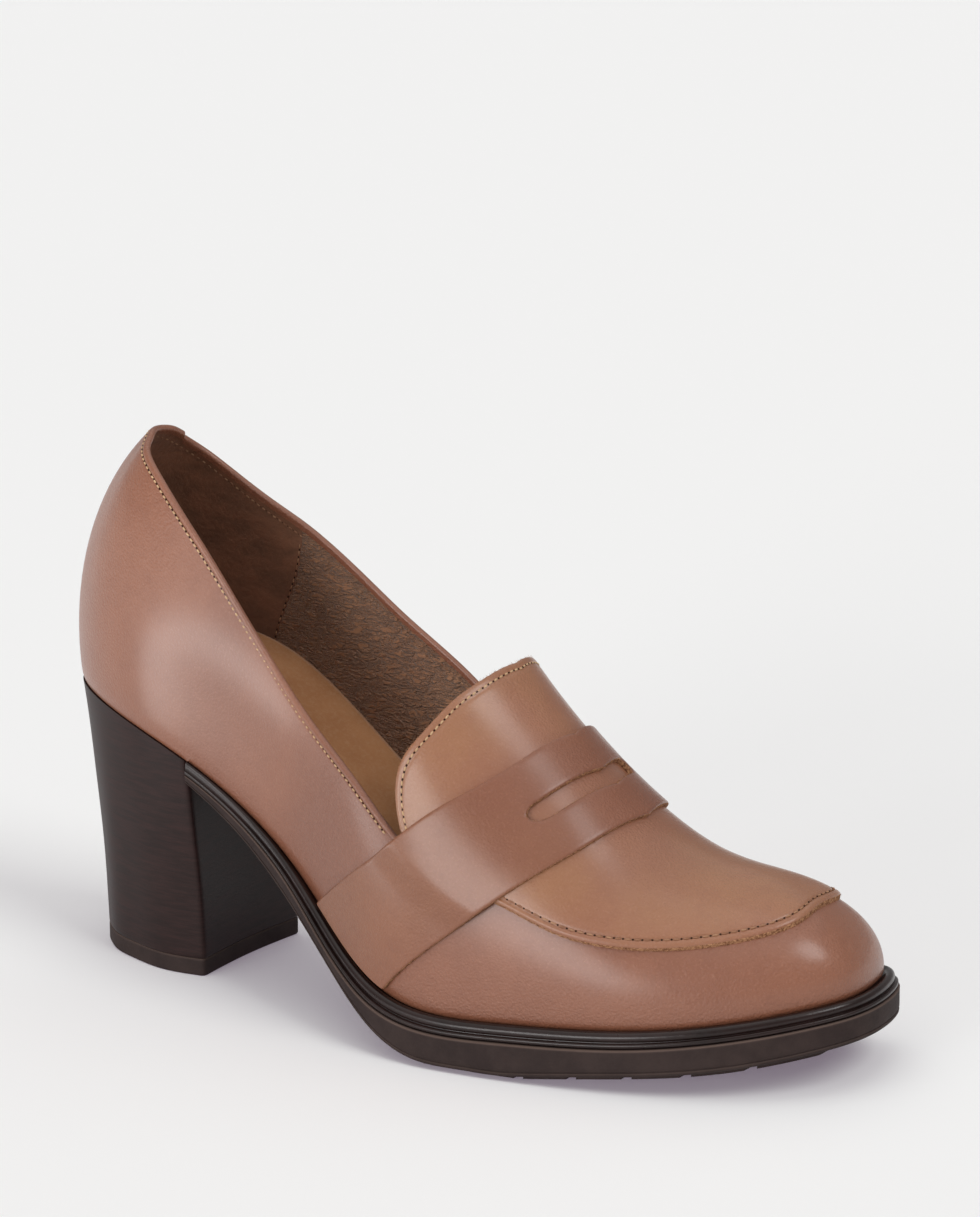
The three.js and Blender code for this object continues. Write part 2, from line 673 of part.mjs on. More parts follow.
const PIECES = [
  { name: 'upper', make: upperSolid, color: 0x9c6f5f, roughness: 0.45 },
  { name: 'apron_tongue', make: plugSolid, color: 0xa17763, roughness: 0.45 },
  { name: 'saddle_strap', make: strapSolid, color: 0x96685a, roughness: 0.45 },
  { name: 'insole', make: insoleSolid, color: 0x7d6442, roughness: 0.9 },
  { name: 'welt', make: weltSolid, color: 0x2c2224, roughness: 0.25 },
  { name: 'outsole', make: outsoleSolid, color: 0x3a2f2e, roughness: 0.75 },
  { name: 'heel_block', make: heelSolid, color: 0x2a2122, roughness: 0.4 },
  { name: 'top_lift', make: liftSolid, color: 0x352b2a, roughness: 0.8 },
];

const group = new THREE.Group();
group.name = 'loafer_pump';
const made = PIECES.map((piece) => ({ piece, mesh: piece.make().getMesh() }));
const box = new THREE.Box3();
made.forEach(({ mesh }) => {
  const p = mesh.vertProperties;
  for (let i = 0; i < p.length; i += mesh.numProp) {
    box.expandByPoint(new THREE.Vector3(p[i], p[i + 1], p[i + 2]));
  }
});
const middle = box.getCenter(new THREE.Vector3());
made.forEach(({ piece, mesh }) => {
  const n = mesh.vertProperties.length / mesh.numProp;
  const position = new Float32Array(n * 3);
  for (let i = 0; i < n; i += 1) {
    position[i * 3] = mesh.vertProperties[i * mesh.numProp] - middle.x;
    position[i * 3 + 1] = mesh.vertProperties[i * mesh.numProp + 1] - middle.y;
    position[i * 3 + 2] = mesh.vertProperties[i * mesh.numProp + 2] - box.min.z;
  }
  const geometry = new THREE.BufferGeometry();
  geometry.setAttribute('position', new THREE.BufferAttribute(position, 3));
  geometry.setIndex(new THREE.BufferAttribute(new Uint32Array(mesh.triVerts), 1));
  geometry.computeVertexNormals();
  const material = new THREE.MeshStandardMaterial({ color: piece.color, roughness: piece.roughness });
  material.name = piece.name;
  const node = new THREE.Mesh(geometry, material);
  node.name = piece.name;
  group.add(node);
});

export default group;
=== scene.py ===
"""Looks of a loafer pump, right shoe. Metres, toe along +X, outer side of the foot at -Y, floor at z = 0."""
import math

import bmesh
import bpy
import numpy as np
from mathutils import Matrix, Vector


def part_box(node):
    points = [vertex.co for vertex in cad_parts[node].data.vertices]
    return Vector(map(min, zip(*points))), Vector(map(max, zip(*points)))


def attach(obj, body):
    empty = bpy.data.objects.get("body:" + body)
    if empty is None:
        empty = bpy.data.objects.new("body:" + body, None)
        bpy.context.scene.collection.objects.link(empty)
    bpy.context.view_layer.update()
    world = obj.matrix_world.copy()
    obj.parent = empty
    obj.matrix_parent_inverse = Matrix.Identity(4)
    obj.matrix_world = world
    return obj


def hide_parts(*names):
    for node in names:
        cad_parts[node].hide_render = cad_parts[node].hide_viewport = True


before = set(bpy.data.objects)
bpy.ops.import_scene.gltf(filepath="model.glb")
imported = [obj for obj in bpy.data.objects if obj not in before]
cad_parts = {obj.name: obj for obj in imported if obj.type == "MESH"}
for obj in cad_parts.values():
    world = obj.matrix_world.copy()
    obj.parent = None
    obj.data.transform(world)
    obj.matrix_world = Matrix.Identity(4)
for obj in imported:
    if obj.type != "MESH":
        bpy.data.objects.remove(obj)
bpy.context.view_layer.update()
MM = 0.001
random = np.random.default_rng(11)

# sizes, as in the part, in millimetres
LAST_LENGTH = 243
BALL_WIDTH = 74
WALL = 1.8
CLEARANCE = 0.3
PLUG_THICKNESS = 1.3
STRAP_THICKNESS = 1.3
WELT_HEIGHT = 3.6
WELT_WAIST_HEIGHT = 3.1
WELT_PROJECTION = 4.0
SOLE_PROJECTION = 4.3
WAIST_PROJECTION = 1.3
FOOTBED_DISH = 2.4
LIFT_HEIGHT = 5.1
BREAST_TOP = 52
SOLE_START = 52.9
BREAST_HOLLOW = 1.2
HEEL_REAR = 10.4
PAD_DEPTH = 1.6
LIFT_CENTRE = 24
FOLD_DEPTH = 1.5
LINING_SINK = 0.35

# rows of stitches: how far in from the edge, and from stitch to stitch
TOPLINE_STITCH_IN, TOPLINE_PITCH = 1.35, 1.85
TONGUE_STITCH_IN, TONGUE_PITCH = 1.9, 1.95
APRON_STITCH_IN, APRON_PITCH = 2.15, 2.5
FOLD_STITCH_IN, FOLD_PITCH = 1.9, 1.95
SEAM_PITCH = 2.2

# along, outer, inner, crown, flareOut, flareIn, full
STATIONS = np.array([
    [0.000, 0.000, 0.000, 0.215, 13.0, 13.0, 1.92],
    [0.022, 0.130, 0.150, 0.215, 10.0, 11.0, 1.92],
    [0.090, 0.261, 0.265, 0.225, 6.3, 6.4, 2.16],
    [0.200, 0.330, 0.315, 0.260, 3.8, 3.1, 2.22],
    [0.360, 0.335, 0.301, 0.370, 6.0, 7.4, 2.18],
    [0.520, 0.515, 0.359, 0.520, 2.4, 7.6, 2.09],
    [0.660, 0.492, 0.445, 0.655, 4.7, 4.9, 1.86],
    [0.800, 0.371, 0.513, 0.768, 4.5, 3.2, 2.01],
    [0.910, 0.196, 0.529, 0.828, 3.0, 4.3, 2.08],
    [0.975, 0.000, 0.480, 0.853, 4.6, 1.6, 2.16],
    [1.000, -0.208, 0.220, 0.860, 2.9, 2.9, 2.12],
])
FEATHER_LINE = {
    "x": [0, 0.09, 0.20, 0.36, 0.52, 0.68, 0.84, 1],
    "z": [73.9, 71.4, 64.1, 41.0, 17.4, 14.3, 17.3, 24.2],
}
RIDGE_LINE = {
    "x": [0.18, 0.275, 0.38, 0.477, 0.565, 0.642, 0.71, 0.787, 0.884],
    "z": [159.2, 160.6, 144.2, 130.5, 105.3, 86.2, 71.0, 56.4, 50.3],
    "y": [0, 0, 0, 0, 0.012, 0.008, 0.018, 0.092, 0.193],
}
SOLE_LINE = {
    "x": [0.20, 0.29, 0.36, 0.44, 0.52, 0.58, 0.64, 0.68, 0.72, 0.78, 0.90, 1.02],
    "z": [59.3, 45.4, 32.6, 19.9, 7.3, 1.9, 1.3, 1.3, 2.3, 4.2, 7.9, 14.1],
}
COLLAR = {
    "station": [-5.1, -4.5, -4, -3.5, -3, -2.5, -2, -1.5, -1, 0, 1, 1.5, 2, 2.5, 3, 3.5, 4, 4.5, 5.1],
    "up": [
        0.356, 0.368, 0.373, 0.368, 0.390, 0.451, 0.524, 0.592, 0.647, 0.696,
        0.673, 0.638, 0.588, 0.520, 0.425, 0.329, 0.276, 0.268, 0.280,
    ],
}
THROAT_FROM, THROAT_TO = 5.1, 5.75
STRAP_EDGE = {
    "up": [0, 0.2, 0.4, 0.6, 0.8, 1],
    "rear": [0.412, 0.511, 0.575, 0.625, 0.651, 0.662],
    "front": [0.530, 0.615, 0.680, 0.722, 0.741, 0.750],
}
STRAP_FOOT = 0.010
APRON_EDGE = {
    "station": [5.08, 5.6, 6.0, 6.5, 7.0, 7.5, 8.0, 8.6, 9.3, 10],
    "up": [0.302, 0.322, 0.336, 0.338, 0.378, 0.423, 0.467, 0.523, 0.596, 0.637],
}
TONGUE_EDGE = {
    "up": [0.33, 0.36, 0.39, 0.45, 0.53, 0.61, 0.71, 0.79, 0.92, 1],
    "station": [5.22, 5.15, 5.11, 5.11, 5.19, 5.27, 5.35, 5.41, 5.47, 5.49],
}
TONGUE_FADE = 2.4
FOOTBED = {
    "station": [0, 1, 2, 3, 4, 5, 6, 8, 10],
    "outer": [0.050, 0.050, 0.050, 0.050, 0.048, 0.038, 0.024, 0.014, 0.014],
    "inner": [0.050, 0.075, 0.100, 0.114, 0.106, 0.072, 0.032, 0.014, 0.014],
}
SLOT = {"from": -0.41, "to": 0.24, "half": 0.095, "round": 0.06}
HEEL_FOOT = {
    "x": [44.8, 32.3, 21, 12, 6, 1.6, 0, 1.6, 6, 12, 21, 32.3, 44.8],
    "y": [-21.1, -23.1, -21.1, -18.1, -13.8, -8.5, 0, 8, 15, 19.1, 22.1, 23.4, 22.2],
}
HEEL_BLEND = {"up": [0, 0.18, 0.37, 0.60, 0.87, 1], "seat": [0, 0.090, 0.228, 0.493, 0.815, 1]}
TIP = len(STATIONS) - 1
LOOP = 2 * TIP


def cubic(xs, ys, closed=False):
    """Cubic spline through a table, natural or closed."""
    xs, ys = np.asarray(xs, float), np.asarray(ys, float)
    n = len(xs)
    h = np.diff(xs)
    rise = np.diff(ys) / h
    matrix, right = np.zeros((n, n)), np.zeros(n)
    for i in range(1, n - 1):
        matrix[i, i - 1:i + 2] = h[i - 1], 2 * (h[i - 1] + h[i]), h[i]
        right[i] = 6 * (rise[i] - rise[i - 1])
    matrix[0, 0] = matrix[-1, -1] = 1
    if closed:
        matrix[0, -1] = -1
        matrix[-1, -1], matrix[-1, -2] = 2 * h[-1], h[-1]
        matrix[-1, 0], matrix[-1, 1] = 2 * h[0], h[0]
        right[-1] = 6 * (rise[0] - rise[-1])
    bend = np.linalg.solve(matrix, right)

    def value(x, slope=False):
        x = np.asarray(x, float)
        q = xs[0] + np.mod(x - xs[0], xs[-1] - xs[0]) if closed else x
        inside = np.clip(q, xs[0], xs[-1])
        i = np.clip(np.searchsorted(xs, inside, side="right") - 1, 0, n - 2)
        a = (xs[i + 1] - inside) / h[i]
        b = 1 - a
        s = rise[i] + ((3 * b * b - 1) * bend[i + 1] - (3 * a * a - 1) * bend[i]) * h[i] / 6
        if slope:
            return s
        curve = ((a**3 - a) * bend[i] + (b**3 - b) * bend[i + 1]) * h[i]**2 / 6
        return a * ys[i] + b * ys[i + 1] + curve + s * (q - inside)
    return value


def round_loop(outer, inner, scale=1.0):
    """Closed spline through the outer values to the tip and back through the inner ones."""
    there, back = outer * scale, (inner * scale)[1:TIP][::-1]
    values = np.concatenate([there, back, there[:1]])
    return cubic(np.arange(len(values)), values, closed=True)


feather_x = round_loop(STATIONS[:, 0], STATIONS[:, 0], LAST_LENGTH)
feather_y = round_loop(-STATIONS[:, 1], STATIONS[:, 2], BALL_WIDTH)
crown_x = round_loop(STATIONS[:, 3], STATIONS[:, 3], LAST_LENGTH)
flare = round_loop(STATIONS[:, 4], STATIONS[:, 5])
fullness = round_loop(STATIONS[:, 6], STATIONS[:, 6])


def side_view(line, column, scale=1.0):
    return cubic(np.array(line["x"]) * LAST_LENGTH, np.array(line[column], float) * scale)


feather_z = side_view(FEATHER_LINE, "z")
ridge_z = side_view(RIDGE_LINE, "z")
ridge_y = side_view(RIDGE_LINE, "y", BALL_WIDTH)
sole_z = side_view(SOLE_LINE, "z")


def mix(a, b, k):
    return a + (b - a) * k


def smooth(k):
    q = np.clip(k, 0, 1)
    return q * q * (3 - 2 * q)


def spread(column, grid):
    """A column of values repeated along the rows of a grid."""
    return column[:, None] * np.ones_like(grid)


def distances(points):
    """How far each point of a run lies from the first one, along the run."""
    return np.concatenate([[0], np.cumsum(np.linalg.norm(np.diff(points, axis=0), axis=1))])


def bell(x, centre, width):
    return np.exp(-((x - centre) / width) ** 2)


def unit(v):
    return v / np.maximum(np.linalg.norm(v, axis=-1, keepdims=True), 1e-9)


def outward(t):
    dx, dy = feather_x(t, True), feather_y(t, True)
    size = np.hypot(dx, dy)
    return dy / size, -dx / size


def last(t, w):
    """Point on the last: t round the loop, w from 0 at the feather line to 1 on the ridge."""
    t, w = np.broadcast_arrays(np.asarray(t, float), np.asarray(w, float))
    nx, ny = outward(t)
    bx, by = feather_x(t), feather_y(t)
    bz = feather_z(bx)
    rx = crown_x(t)
    ry, rz = ridge_y(rx), ridge_z(rx)
    f = flare(t)
    cx, cy = bx + nx * f, by + ny * f
    cz = rz + ridge_z(rx, True) * (cx - rx)
    power = 2 / fullness(t)
    angle = np.clip(w, 0, 1) * np.pi / 2
    c = np.maximum(np.cos(angle), 0) ** power
    s = np.maximum(np.sin(angle), 0) ** power
    foot, ridge, corner = (np.stack(v, -1) for v in ((bx, by, bz), (rx, ry, rz), (cx, cy, cz)))
    inner = foot + ridge - corner
    return inner + c[..., None] * (foot - inner) + s[..., None] * (ridge - inner)


def from_heel(t):
    """Place round the loop counted from the heel, negative on the inner side."""
    return np.where(t > TIP, t - LOOP, t)


def last_normal(t, w):
    t, w = np.broadcast_arrays(np.asarray(t, float), np.asarray(w, float))
    slope = ridge_z(crown_x(t), True)
    top = unit(np.stack([-slope, np.zeros_like(slope), np.ones_like(slope)], -1))
    e = 0.012
    along = last(t + e, w) - last(t - e, w)
    up = last(t, np.minimum(w + e, 1)) - last(t, np.maximum(w - e, 0))
    n = unit(np.cross(along, up))
    near = smooth((w - 0.93) / 0.07)[..., None]
    return unit(n * (1 - near) + top * near)


def skin(t, w, off=0.0):
    return last(t, w) + last_normal(t, w) * np.asarray(off, float)[..., None]


lift_low, lift_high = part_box("top_lift")
SHIFT = np.array([lift_low.x / MM - HEEL_REAR, (lift_low.y + lift_high.y) / 2 / MM, 0.0])


def place(points):
    return (np.asarray(points, float) + SHIFT) * MM


def add_object(name, data):
    item = bpy.data.objects.new(name, data)
    bpy.context.scene.collection.objects.link(item)
    return item


# mesh helpers
class Shape:
    """Grids of points joined into one mesh."""

    def __init__(self):
        self.points, self.quads, self.marks, self.count = [], [], [], 0

    def grid(self, p, wrap=False, flip=False, mark=0.0):
        n, m = p.shape[:2]
        i = np.arange(n if wrap else n - 1)[:, None]
        j = np.arange(m - 1)[None]
        a = self.count + i * m + j
        d = self.count + ((i + 1) % n) * m + j
        order = (a, a + 1, d + 1, d) if flip else (a, d, d + 1, a + 1)
        self.quads.append(np.stack(order, -1).reshape(-1, 4))
        self.points.append(p.reshape(-1, 3))
        self.marks.append(np.broadcast_to(np.asarray(mark, float), (n, m)).reshape(-1))
        self.count += n * m
        return self

    def loose(self, points, quads, mark=0.0):
        self.quads.append(quads + self.count)
        self.points.append(points)
        self.marks.append(np.broadcast_to(np.asarray(mark, float), (len(points),)))
        self.count += len(points)
        return self

    def build(self, name, paint, slot, nodes=(), weld=0.004, sharp=50):
        mesh = bpy.data.meshes.new(name)
        mesh.from_pydata(place(np.concatenate(self.points)).tolist(), [], np.concatenate(self.quads).tolist())
        layer = mesh.attributes.new("mark", "FLOAT", "POINT")
        layer.data.foreach_set("value", np.concatenate(self.marks).astype(np.float32))
        if weld:
            bm = bmesh.new()
            bm.from_mesh(mesh)
            bmesh.ops.remove_doubles(bm, verts=bm.verts, dist=weld * MM)
            bm.to_mesh(mesh)
            bm.free()
        mesh.polygons.foreach_set("use_smooth", np.ones(len(mesh.polygons), bool))
        if sharp:
            mesh.set_sharp_from_angle(angle=math.radians(sharp))
        mesh.materials.append(paint.material)
        piece = add_object(name, mesh)
        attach(piece, "root")
        if nodes:
            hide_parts(*nodes)
        return piece


def steps(a, b, n):
    return np.linspace(a, b, n + 1)


def wobble(s, seed, scales=((3.1, 1.0), (1.27, 0.6), (0.53, 0.4), (0.21, 0.3))):
    """Smooth uneven line between about -1 and 1 along s, in mm."""
    phase = np.random.default_rng(seed).uniform(0, 2 * np.pi, len(scales))
    total = sum(a * np.sin(2 * np.pi * s / wave + p) for (wave, a), p in zip(scales, phase))
    return total / sum(a for _, a in scales)


class Line:
    """A run of points with surface normals."""

    def __init__(self, points, normals):
        self.points, self.normals = points, unit(normals)

    @property
    def run(self):
        return unit(np.gradient(self.points, axis=0))

    @property
    def reach(self):
        return distances(self.points)

    def beside(self, distance, lift=0.0):
        side = np.cross(self.normals, self.run)
        return Line(self.points + side * distance + self.normals * lift, self.normals)

    def at(self, places):
        s = self.reach
        pick = [np.stack([np.interp(places, s, v[:, i]) for i in range(3)], -1)
                for v in (self.points, self.normals, self.run)]
        return pick[0], unit(pick[1]), unit(pick[2])


def ball(rings=6, round_=8):
    a = np.linspace(0, np.pi, rings + 1)[:, None]
    b = np.linspace(0, 2 * np.pi, round_, endpoint=False)[None]
    p = np.stack([np.cos(a) * np.ones_like(b), np.sin(a) * np.cos(b), np.sin(a) * np.sin(b)], -1)
    i, j = np.arange(rings)[:, None], np.arange(round_)[None]
    q = np.stack([i * round_ + j, (i + 1) * round_ + j, (i + 1) * round_ + (j + 1) % round_,
                  i * round_ + (j + 1) % round_], -1)
    return p.reshape(-1, 3), q.reshape(-1, 4)


BALL, BALL_QUADS = ball()


def beads(shape, centres, runs, normals, length, width, height, mark=0.0, bow=0.0):
    """Small rounded lengths, one per centre, along runs."""
    across = np.cross(normals, runs)
    x, y, z = BALL[:, 0], BALL[:, 1], BALL[:, 2]
    local = (centres[:, None] + runs[:, None] * (x * length / 2)[None, :, None]
             + across[:, None] * (y * width / 2)[None, :, None]
             + normals[:, None] * (z * height / 2 - bow * x * x)[None, :, None])
    n, m = len(centres), len(BALL)
    quads = (BALL_QUADS[None] + (np.arange(n) * m)[:, None, None]).reshape(-1, 4)
    marks = np.repeat(np.broadcast_to(np.asarray(mark, float), (n,)), m)
    shape.loose(local.reshape(-1, 3), quads, marks)


def stitch(threads, holes, line, pitch, start=1.0, end=1.0, width=0.56, sink=0.0, hole=0.7, tilt=0.0):
    """A row of stitches along a line, each a little uneven, with a dark bead between them whose colour paints
    the shade in the needle hole.
    """
    places = np.arange(start, line.reach[-1] - end, pitch)
    places = places + random.normal(0, 0.05, len(places))
    c, n, r = line.at(places)
    r = unit(r + np.cross(n, r) * (tilt + random.normal(0, 0.05, (len(places), 1))))
    size = pitch * random.uniform(0.62, 0.72, len(places))
    beads(threads, c - n * sink + n * 0.12, r, n, np.float64(size.mean()), width, 0.46,
          mark=random.uniform(0, 1, len(places)), bow=0.12)
    c, n, r = line.at(places[:-1] + pitch / 2)
    beads(holes, c - n * (sink - 0.05), r, n, hole, hole * 0.86, 0.24)


# shader helpers
def rgb(code):
    """Linear colour from a display hex code."""
    parts = [int(code[i:i + 2], 16) / 255 for i in (0, 2, 4)]
    linear = [c / 12.92 if c <= 0.04045 else ((c + 0.055) / 1.055) ** 2.4 for c in parts]
    return (*linear, 1.0)


class Value:
    """A shader socket that takes part in plain expressions."""

    def __init__(self, paint, socket):
        self.paint, self.socket = paint, socket

    def maths(self, operation, *terms, clamp=False):
        settings = {"operation": operation, "use_clamp": clamp}
        return self.paint.node("ShaderNodeMath", settings, dict(enumerate(terms)))

    def __add__(self, other):
        return self.maths("ADD", self, other)

    def __sub__(self, other):
        return self.maths("SUBTRACT", self, other)

    def __rsub__(self, other):
        return self.maths("SUBTRACT", other, self)

    def __mul__(self, other):
        return self.maths("MULTIPLY", self, other)

    def __abs__(self):
        return self.maths("ABSOLUTE", self)

    __radd__, __rmul__ = __add__, __mul__

    def fraction(self):
        return self.maths("FRACT", self)

    def clamp(self):
        return self.maths("ADD", self, 0.0, clamp=True)

    def ramp(self, low, high):
        """0 below low, 1 above high, smooth between."""
        settings = {"interpolation_type": "SMOOTHSTEP"}
        return self.paint.node("ShaderNodeMapRange", settings, {0: self, 1: low, 2: high})


class Paint:
    """One material built in code."""

    def __init__(self, name):
        self.material = bpy.data.materials.new(name)
        self.material.use_nodes = True
        self.tree = self.material.node_tree
        self.tree.nodes.clear()
        self.shader = self.add("ShaderNodeBsdfPrincipled")
        self.add("ShaderNodeOutputMaterial", None, {0: Value(self, self.shader.outputs[0])})
        self.where = self.node("ShaderNodeTexCoord", out="Object")

    def feed(self, socket, value):
        if isinstance(value, Value):
            self.tree.links.new(value.socket, socket)
        else:
            socket.default_value = value

    def add(self, kind, settings=None, inputs=None):
        """One node: its settings first, then the values or links of its sockets."""
        node = self.tree.nodes.new(kind)
        for key, value in (settings or {}).items():
            setattr(node, key, value)
        for key, value in (inputs or {}).items():
            self.feed(node.inputs[key], value)
        return node

    def node(self, kind, settings=None, inputs=None, out=0):
        return Value(self, self.add(kind, settings, inputs).outputs[out])

    def stretch(self, x=1.0, y=1.0, z=1.0, turn=(0.0, 0.0, 0.0)):
        inputs = {"Vector": self.where, "Scale": (x, y, z), "Rotation": turn}
        return self.node("ShaderNodeMapping", None, inputs)

    def noise(self, scale, detail=3.0, rough=0.55, where=None, twist=0.0):
        inputs = {"Vector": where or self.where, "Scale": scale, "Detail": detail, "Roughness": rough,
                  "Distortion": twist}
        return self.node("ShaderNodeTexNoise", None, inputs, "Fac")

    def pebbles(self, scale):
        inputs = {"Vector": self.where, "Scale": scale}
        return self.node("ShaderNodeTexVoronoi", {"feature": "SMOOTH_F1"}, inputs, "Distance")

    def mark(self):
        return self.node("ShaderNodeAttribute", {"attribute_name": "mark"}, None, "Fac")

    def height(self):
        return self.node("ShaderNodeSeparateXYZ", None, {0: self.where}, 2)

    def blend(self, factor, a, b):
        return self.node("ShaderNodeMix", {"data_type": "RGBA"}, {0: factor, 6: a, 7: b}, 2)

    def bump(self, height, distance, strength=1.0):
        inputs = {"Height": height, "Distance": distance, "Strength": strength}
        return self.node("ShaderNodeBump", None, inputs)

    def set(self, **values):
        for key, value in values.items():
            self.feed(self.shader.inputs[key.replace("_", " ")], value)
        return self


# materials; noise scales are per metre, bump distances in metres
def leather(name, main, deep, pale, tan=None, tan_amount=0.0):
    """Smooth waxed calf: fine pebble, even dye, satin wax."""
    p = Paint(name)
    cloud = p.noise(21, 3, 0.5)
    fleck = p.noise(1500, 3, 0.65)
    mottle = p.noise(230, 4, 0.62)
    base = p.blend(cloud.ramp(0.30, 0.70), rgb(deep), rgb(main))
    if tan:
        patch = p.noise(15, 3, 0.5, where=p.stretch(1, 1.3, 1, (0.4, 0.2, 0.9)))
        base = p.blend(patch.ramp(0.38, 0.70) * tan_amount, base, rgb(tan))
    base = p.blend(fleck.ramp(0.50, 0.78) * 0.35, base, rgb(pale))
    # darker towards the deep tone where the mark is set: painted shade at the upper's foot; the same mark
    # also darkens the plug's edges and the slot's lips
    base = p.blend(p.mark().clamp() * 0.6, base, rgb(deep))
    base = p.blend(mottle.ramp(0.46, 0.70) * 0.30, base, rgb(deep))
    pores = p.noise(2600, 3, 0.65)
    pull = p.noise(330, 4, 0.6, where=p.stretch(1, 1, 0.45, (0.3, 0.5, 0.2)))
    relief = p.pebbles(1500) * 0.7 + pores * 0.5 + pull * 0.2
    return p.set(Base_Color=base, Roughness=0.29 + mottle * 0.08 + pores * 0.16,
                 Normal=p.bump(relief, 0.00032, 0.9), Coat_Weight=0.55, Coat_Roughness=0.25,
                 Specular_IOR_Level=0.34)


def raw_leather():
    """Cut edge: pale and dark fibres in small lumps."""
    p = Paint("raw_edge")
    fuzz = p.noise(1500, 4, 0.7)
    lump = p.noise(420, 3, 0.6)
    base = p.blend(fuzz.ramp(0.36, 0.64), rgb("6d452f"), rgb("b98a66"))
    return p.set(Base_Color=base, Roughness=0.92, Normal=p.bump(fuzz * 0.6 + lump, 0.00035, 0.9),
                 Specular_IOR_Level=0.2)


def beige_thread():
    p = Paint("thread")
    twist = p.noise(3600, 2, 0.6, where=p.stretch(1, 1, 2.5, (0.6, 0.4, 0)))
    base = p.blend(p.mark() * 0.6, rgb("c4a27a"), rgb("a78460"))
    return p.set(Base_Color=base, Roughness=0.75, Normal=p.bump(twist, 0.00012, 0.8), Sheen_Weight=0.2)


def brown_thread():
    p = Paint("brown_thread")
    base = p.blend(p.mark(), rgb("a37a5c"), rgb("84593f"))
    return p.set(Base_Color=base, Roughness=0.8, Normal=p.bump(p.noise(3600, 2), 0.0001, 0.8))


def needle_hole_shade():
    p = Paint("needle_hole_shade")
    # painted shade: the dark colour stands for the shadow inside each needle hole
    base = p.blend(p.noise(900), rgb("2b1a12"), rgb("3c261b"))
    return p.set(Base_Color=base, Roughness=0.95, Specular_IOR_Level=0.1)


def lining_leather():
    """Napped leather at the back, creased tumbled leather at the front, told apart by the mark."""
    p = Paint("lining_leather")
    nap = p.noise(700, 4, 0.65)
    shade = p.noise(48, 4, 0.6)
    streak = p.noise(110, 4, 0.6, where=p.stretch(0.8, 1.0, 1.6, (0.0, 0.35, 0.0)))
    slant = p.stretch(0.42, 1.0, 1.15, (0.0, 0.62, 0.15))

    def crease(scale, width):
        """Thin valleys where a stretched noise crosses its middle."""
        return abs(p.noise(scale, 3, 0.55, where=slant, twist=0.35) - 0.5).ramp(0.0, width)

    fine, long = crease(720, 0.10), crease(330, 0.07)
    tumbled = fine * 0.8 + long * 0.9 + nap * 0.15
    napped = nap * 0.3 + streak * 0.4
    back = p.blend(streak.ramp(0.34, 0.66), rgb("704a33"), rgb("87593f"))
    back = p.blend(nap.ramp(0.4, 0.75) * 0.4, back, rgb("80583f"))
    front = p.blend(shade.ramp(0.3, 0.7), rgb("93674a"), rgb("9f7355"))
    # painted shade: darker in the valleys of the creases
    front = p.blend((1 - fine * long) * 0.16, front, rgb("6a432b"))
    is_front = p.mark().ramp(0.45, 0.55)
    relief = napped * (1 - is_front) + tumbled * is_front
    return p.set(Base_Color=p.blend(is_front, back, front), Roughness=0.92 - is_front * 0.36,
                 Normal=p.bump(relief, 0.0008, 1.0), Sheen_Weight=0.15, Sheen_Roughness=0.5)


def insole_suede():
    p = Paint("insole_suede")
    nap = p.noise(900, 5, 0.7)
    sweep = p.noise(34, 4, 0.6, where=p.stretch(0.5, 1.2, 1))
    base = p.blend(sweep.ramp(0.32, 0.68), rgb("8f613f"), rgb("a2734e"))
    base = p.blend(nap.ramp(0.42, 0.72) * 0.45, base, rgb("a57d5c"))
    return p.set(Base_Color=base, Roughness=0.96, Normal=p.bump(nap, 0.00022, 0.7), Sheen_Weight=0.35,
                 Sheen_Roughness=0.45, Specular_IOR_Level=0.2)


def welt_polish():
    p = Paint("welt_polish")
    drag = p.noise(90, 4, 0.6)
    spots = p.noise(640, 3, 0.6)
    base = p.blend(drag.ramp(0.3, 0.7), rgb("190e0c"), rgb("261715"))
    return p.set(Base_Color=base, Roughness=0.22 + spots * 0.16, Normal=p.bump(spots + drag, 0.00007, 0.6),
                 Coat_Weight=0.12, Coat_Roughness=0.16, Specular_IOR_Level=0.30)


def sole_rubber():
    """Dull dark rubber, with a pale painted highlight where the mark picks out its edges."""
    p = Paint("sole_rubber")
    dust = p.noise(130, 4, 0.6)
    speck = p.noise(1300, 3, 0.7)
    base = p.blend(dust.ramp(0.3, 0.72), rgb("2c211f"), rgb("362a27"))
    # painted highlight: paler where the mark is set, on the sole's upward-facing top edge and its ridges
    base = p.blend(p.mark().clamp() * 0.4, base, rgb("766258"))
    return p.set(Base_Color=base, Roughness=0.62 + speck * 0.2, Normal=p.bump(speck + dust, 0.00009, 0.7),
                 Specular_IOR_Level=0.22)


def stacked_heel():
    """Polished dark stack: thin level layers that sway a little, with drawn-out streaks."""
    p = Paint("heel_stack")
    sway = p.noise(60, 3, 0.6)
    layers_per_metre = 900
    layer = (p.height() * layers_per_metre + sway * 0.35).fraction()
    streaks = p.noise(90, 5, 0.65, where=p.stretch(1, 1, 9))
    seam = (1 - layer.ramp(0.0, 0.14) + layer.ramp(0.90, 1.0)).clamp()
    base = p.blend(streaks.ramp(0.32, 0.70), rgb("1f100e"), rgb("2d1a18"))
    base = p.blend(seam * 0.32, base, rgb("120c0d"))
    return p.set(Base_Color=base, Roughness=0.42 + streaks * 0.14,
                 Normal=p.bump(streaks * 0.5 - seam * 0.25, 0.00010, 0.6), Coat_Weight=0.10,
                 Coat_Roughness=0.2, Specular_IOR_Level=0.16)


MAIN_LEATHER = leather("smooth_leather", "8b5942", "7c4d39", "a3745e")
APRON_LEATHER = leather("apron_leather", "946148", "88573f", "a9785f", tan="9d7049", tan_amount=0.55)
STRAP_LEATHER = leather("strap_leather", "88543b", "794832", "9b6a52", tan="8a5b3c", tan_amount=0.4)
RAW_EDGE, RUBBER = raw_leather(), sole_rubber()

# upper
collar = cubic(COLLAR["station"], COLLAR["up"])
FAR = 9.0
UPPER_ROWS, LINING_ROWS, PLUG_ROWS = 46, 44, 44
TUCK = 0.9


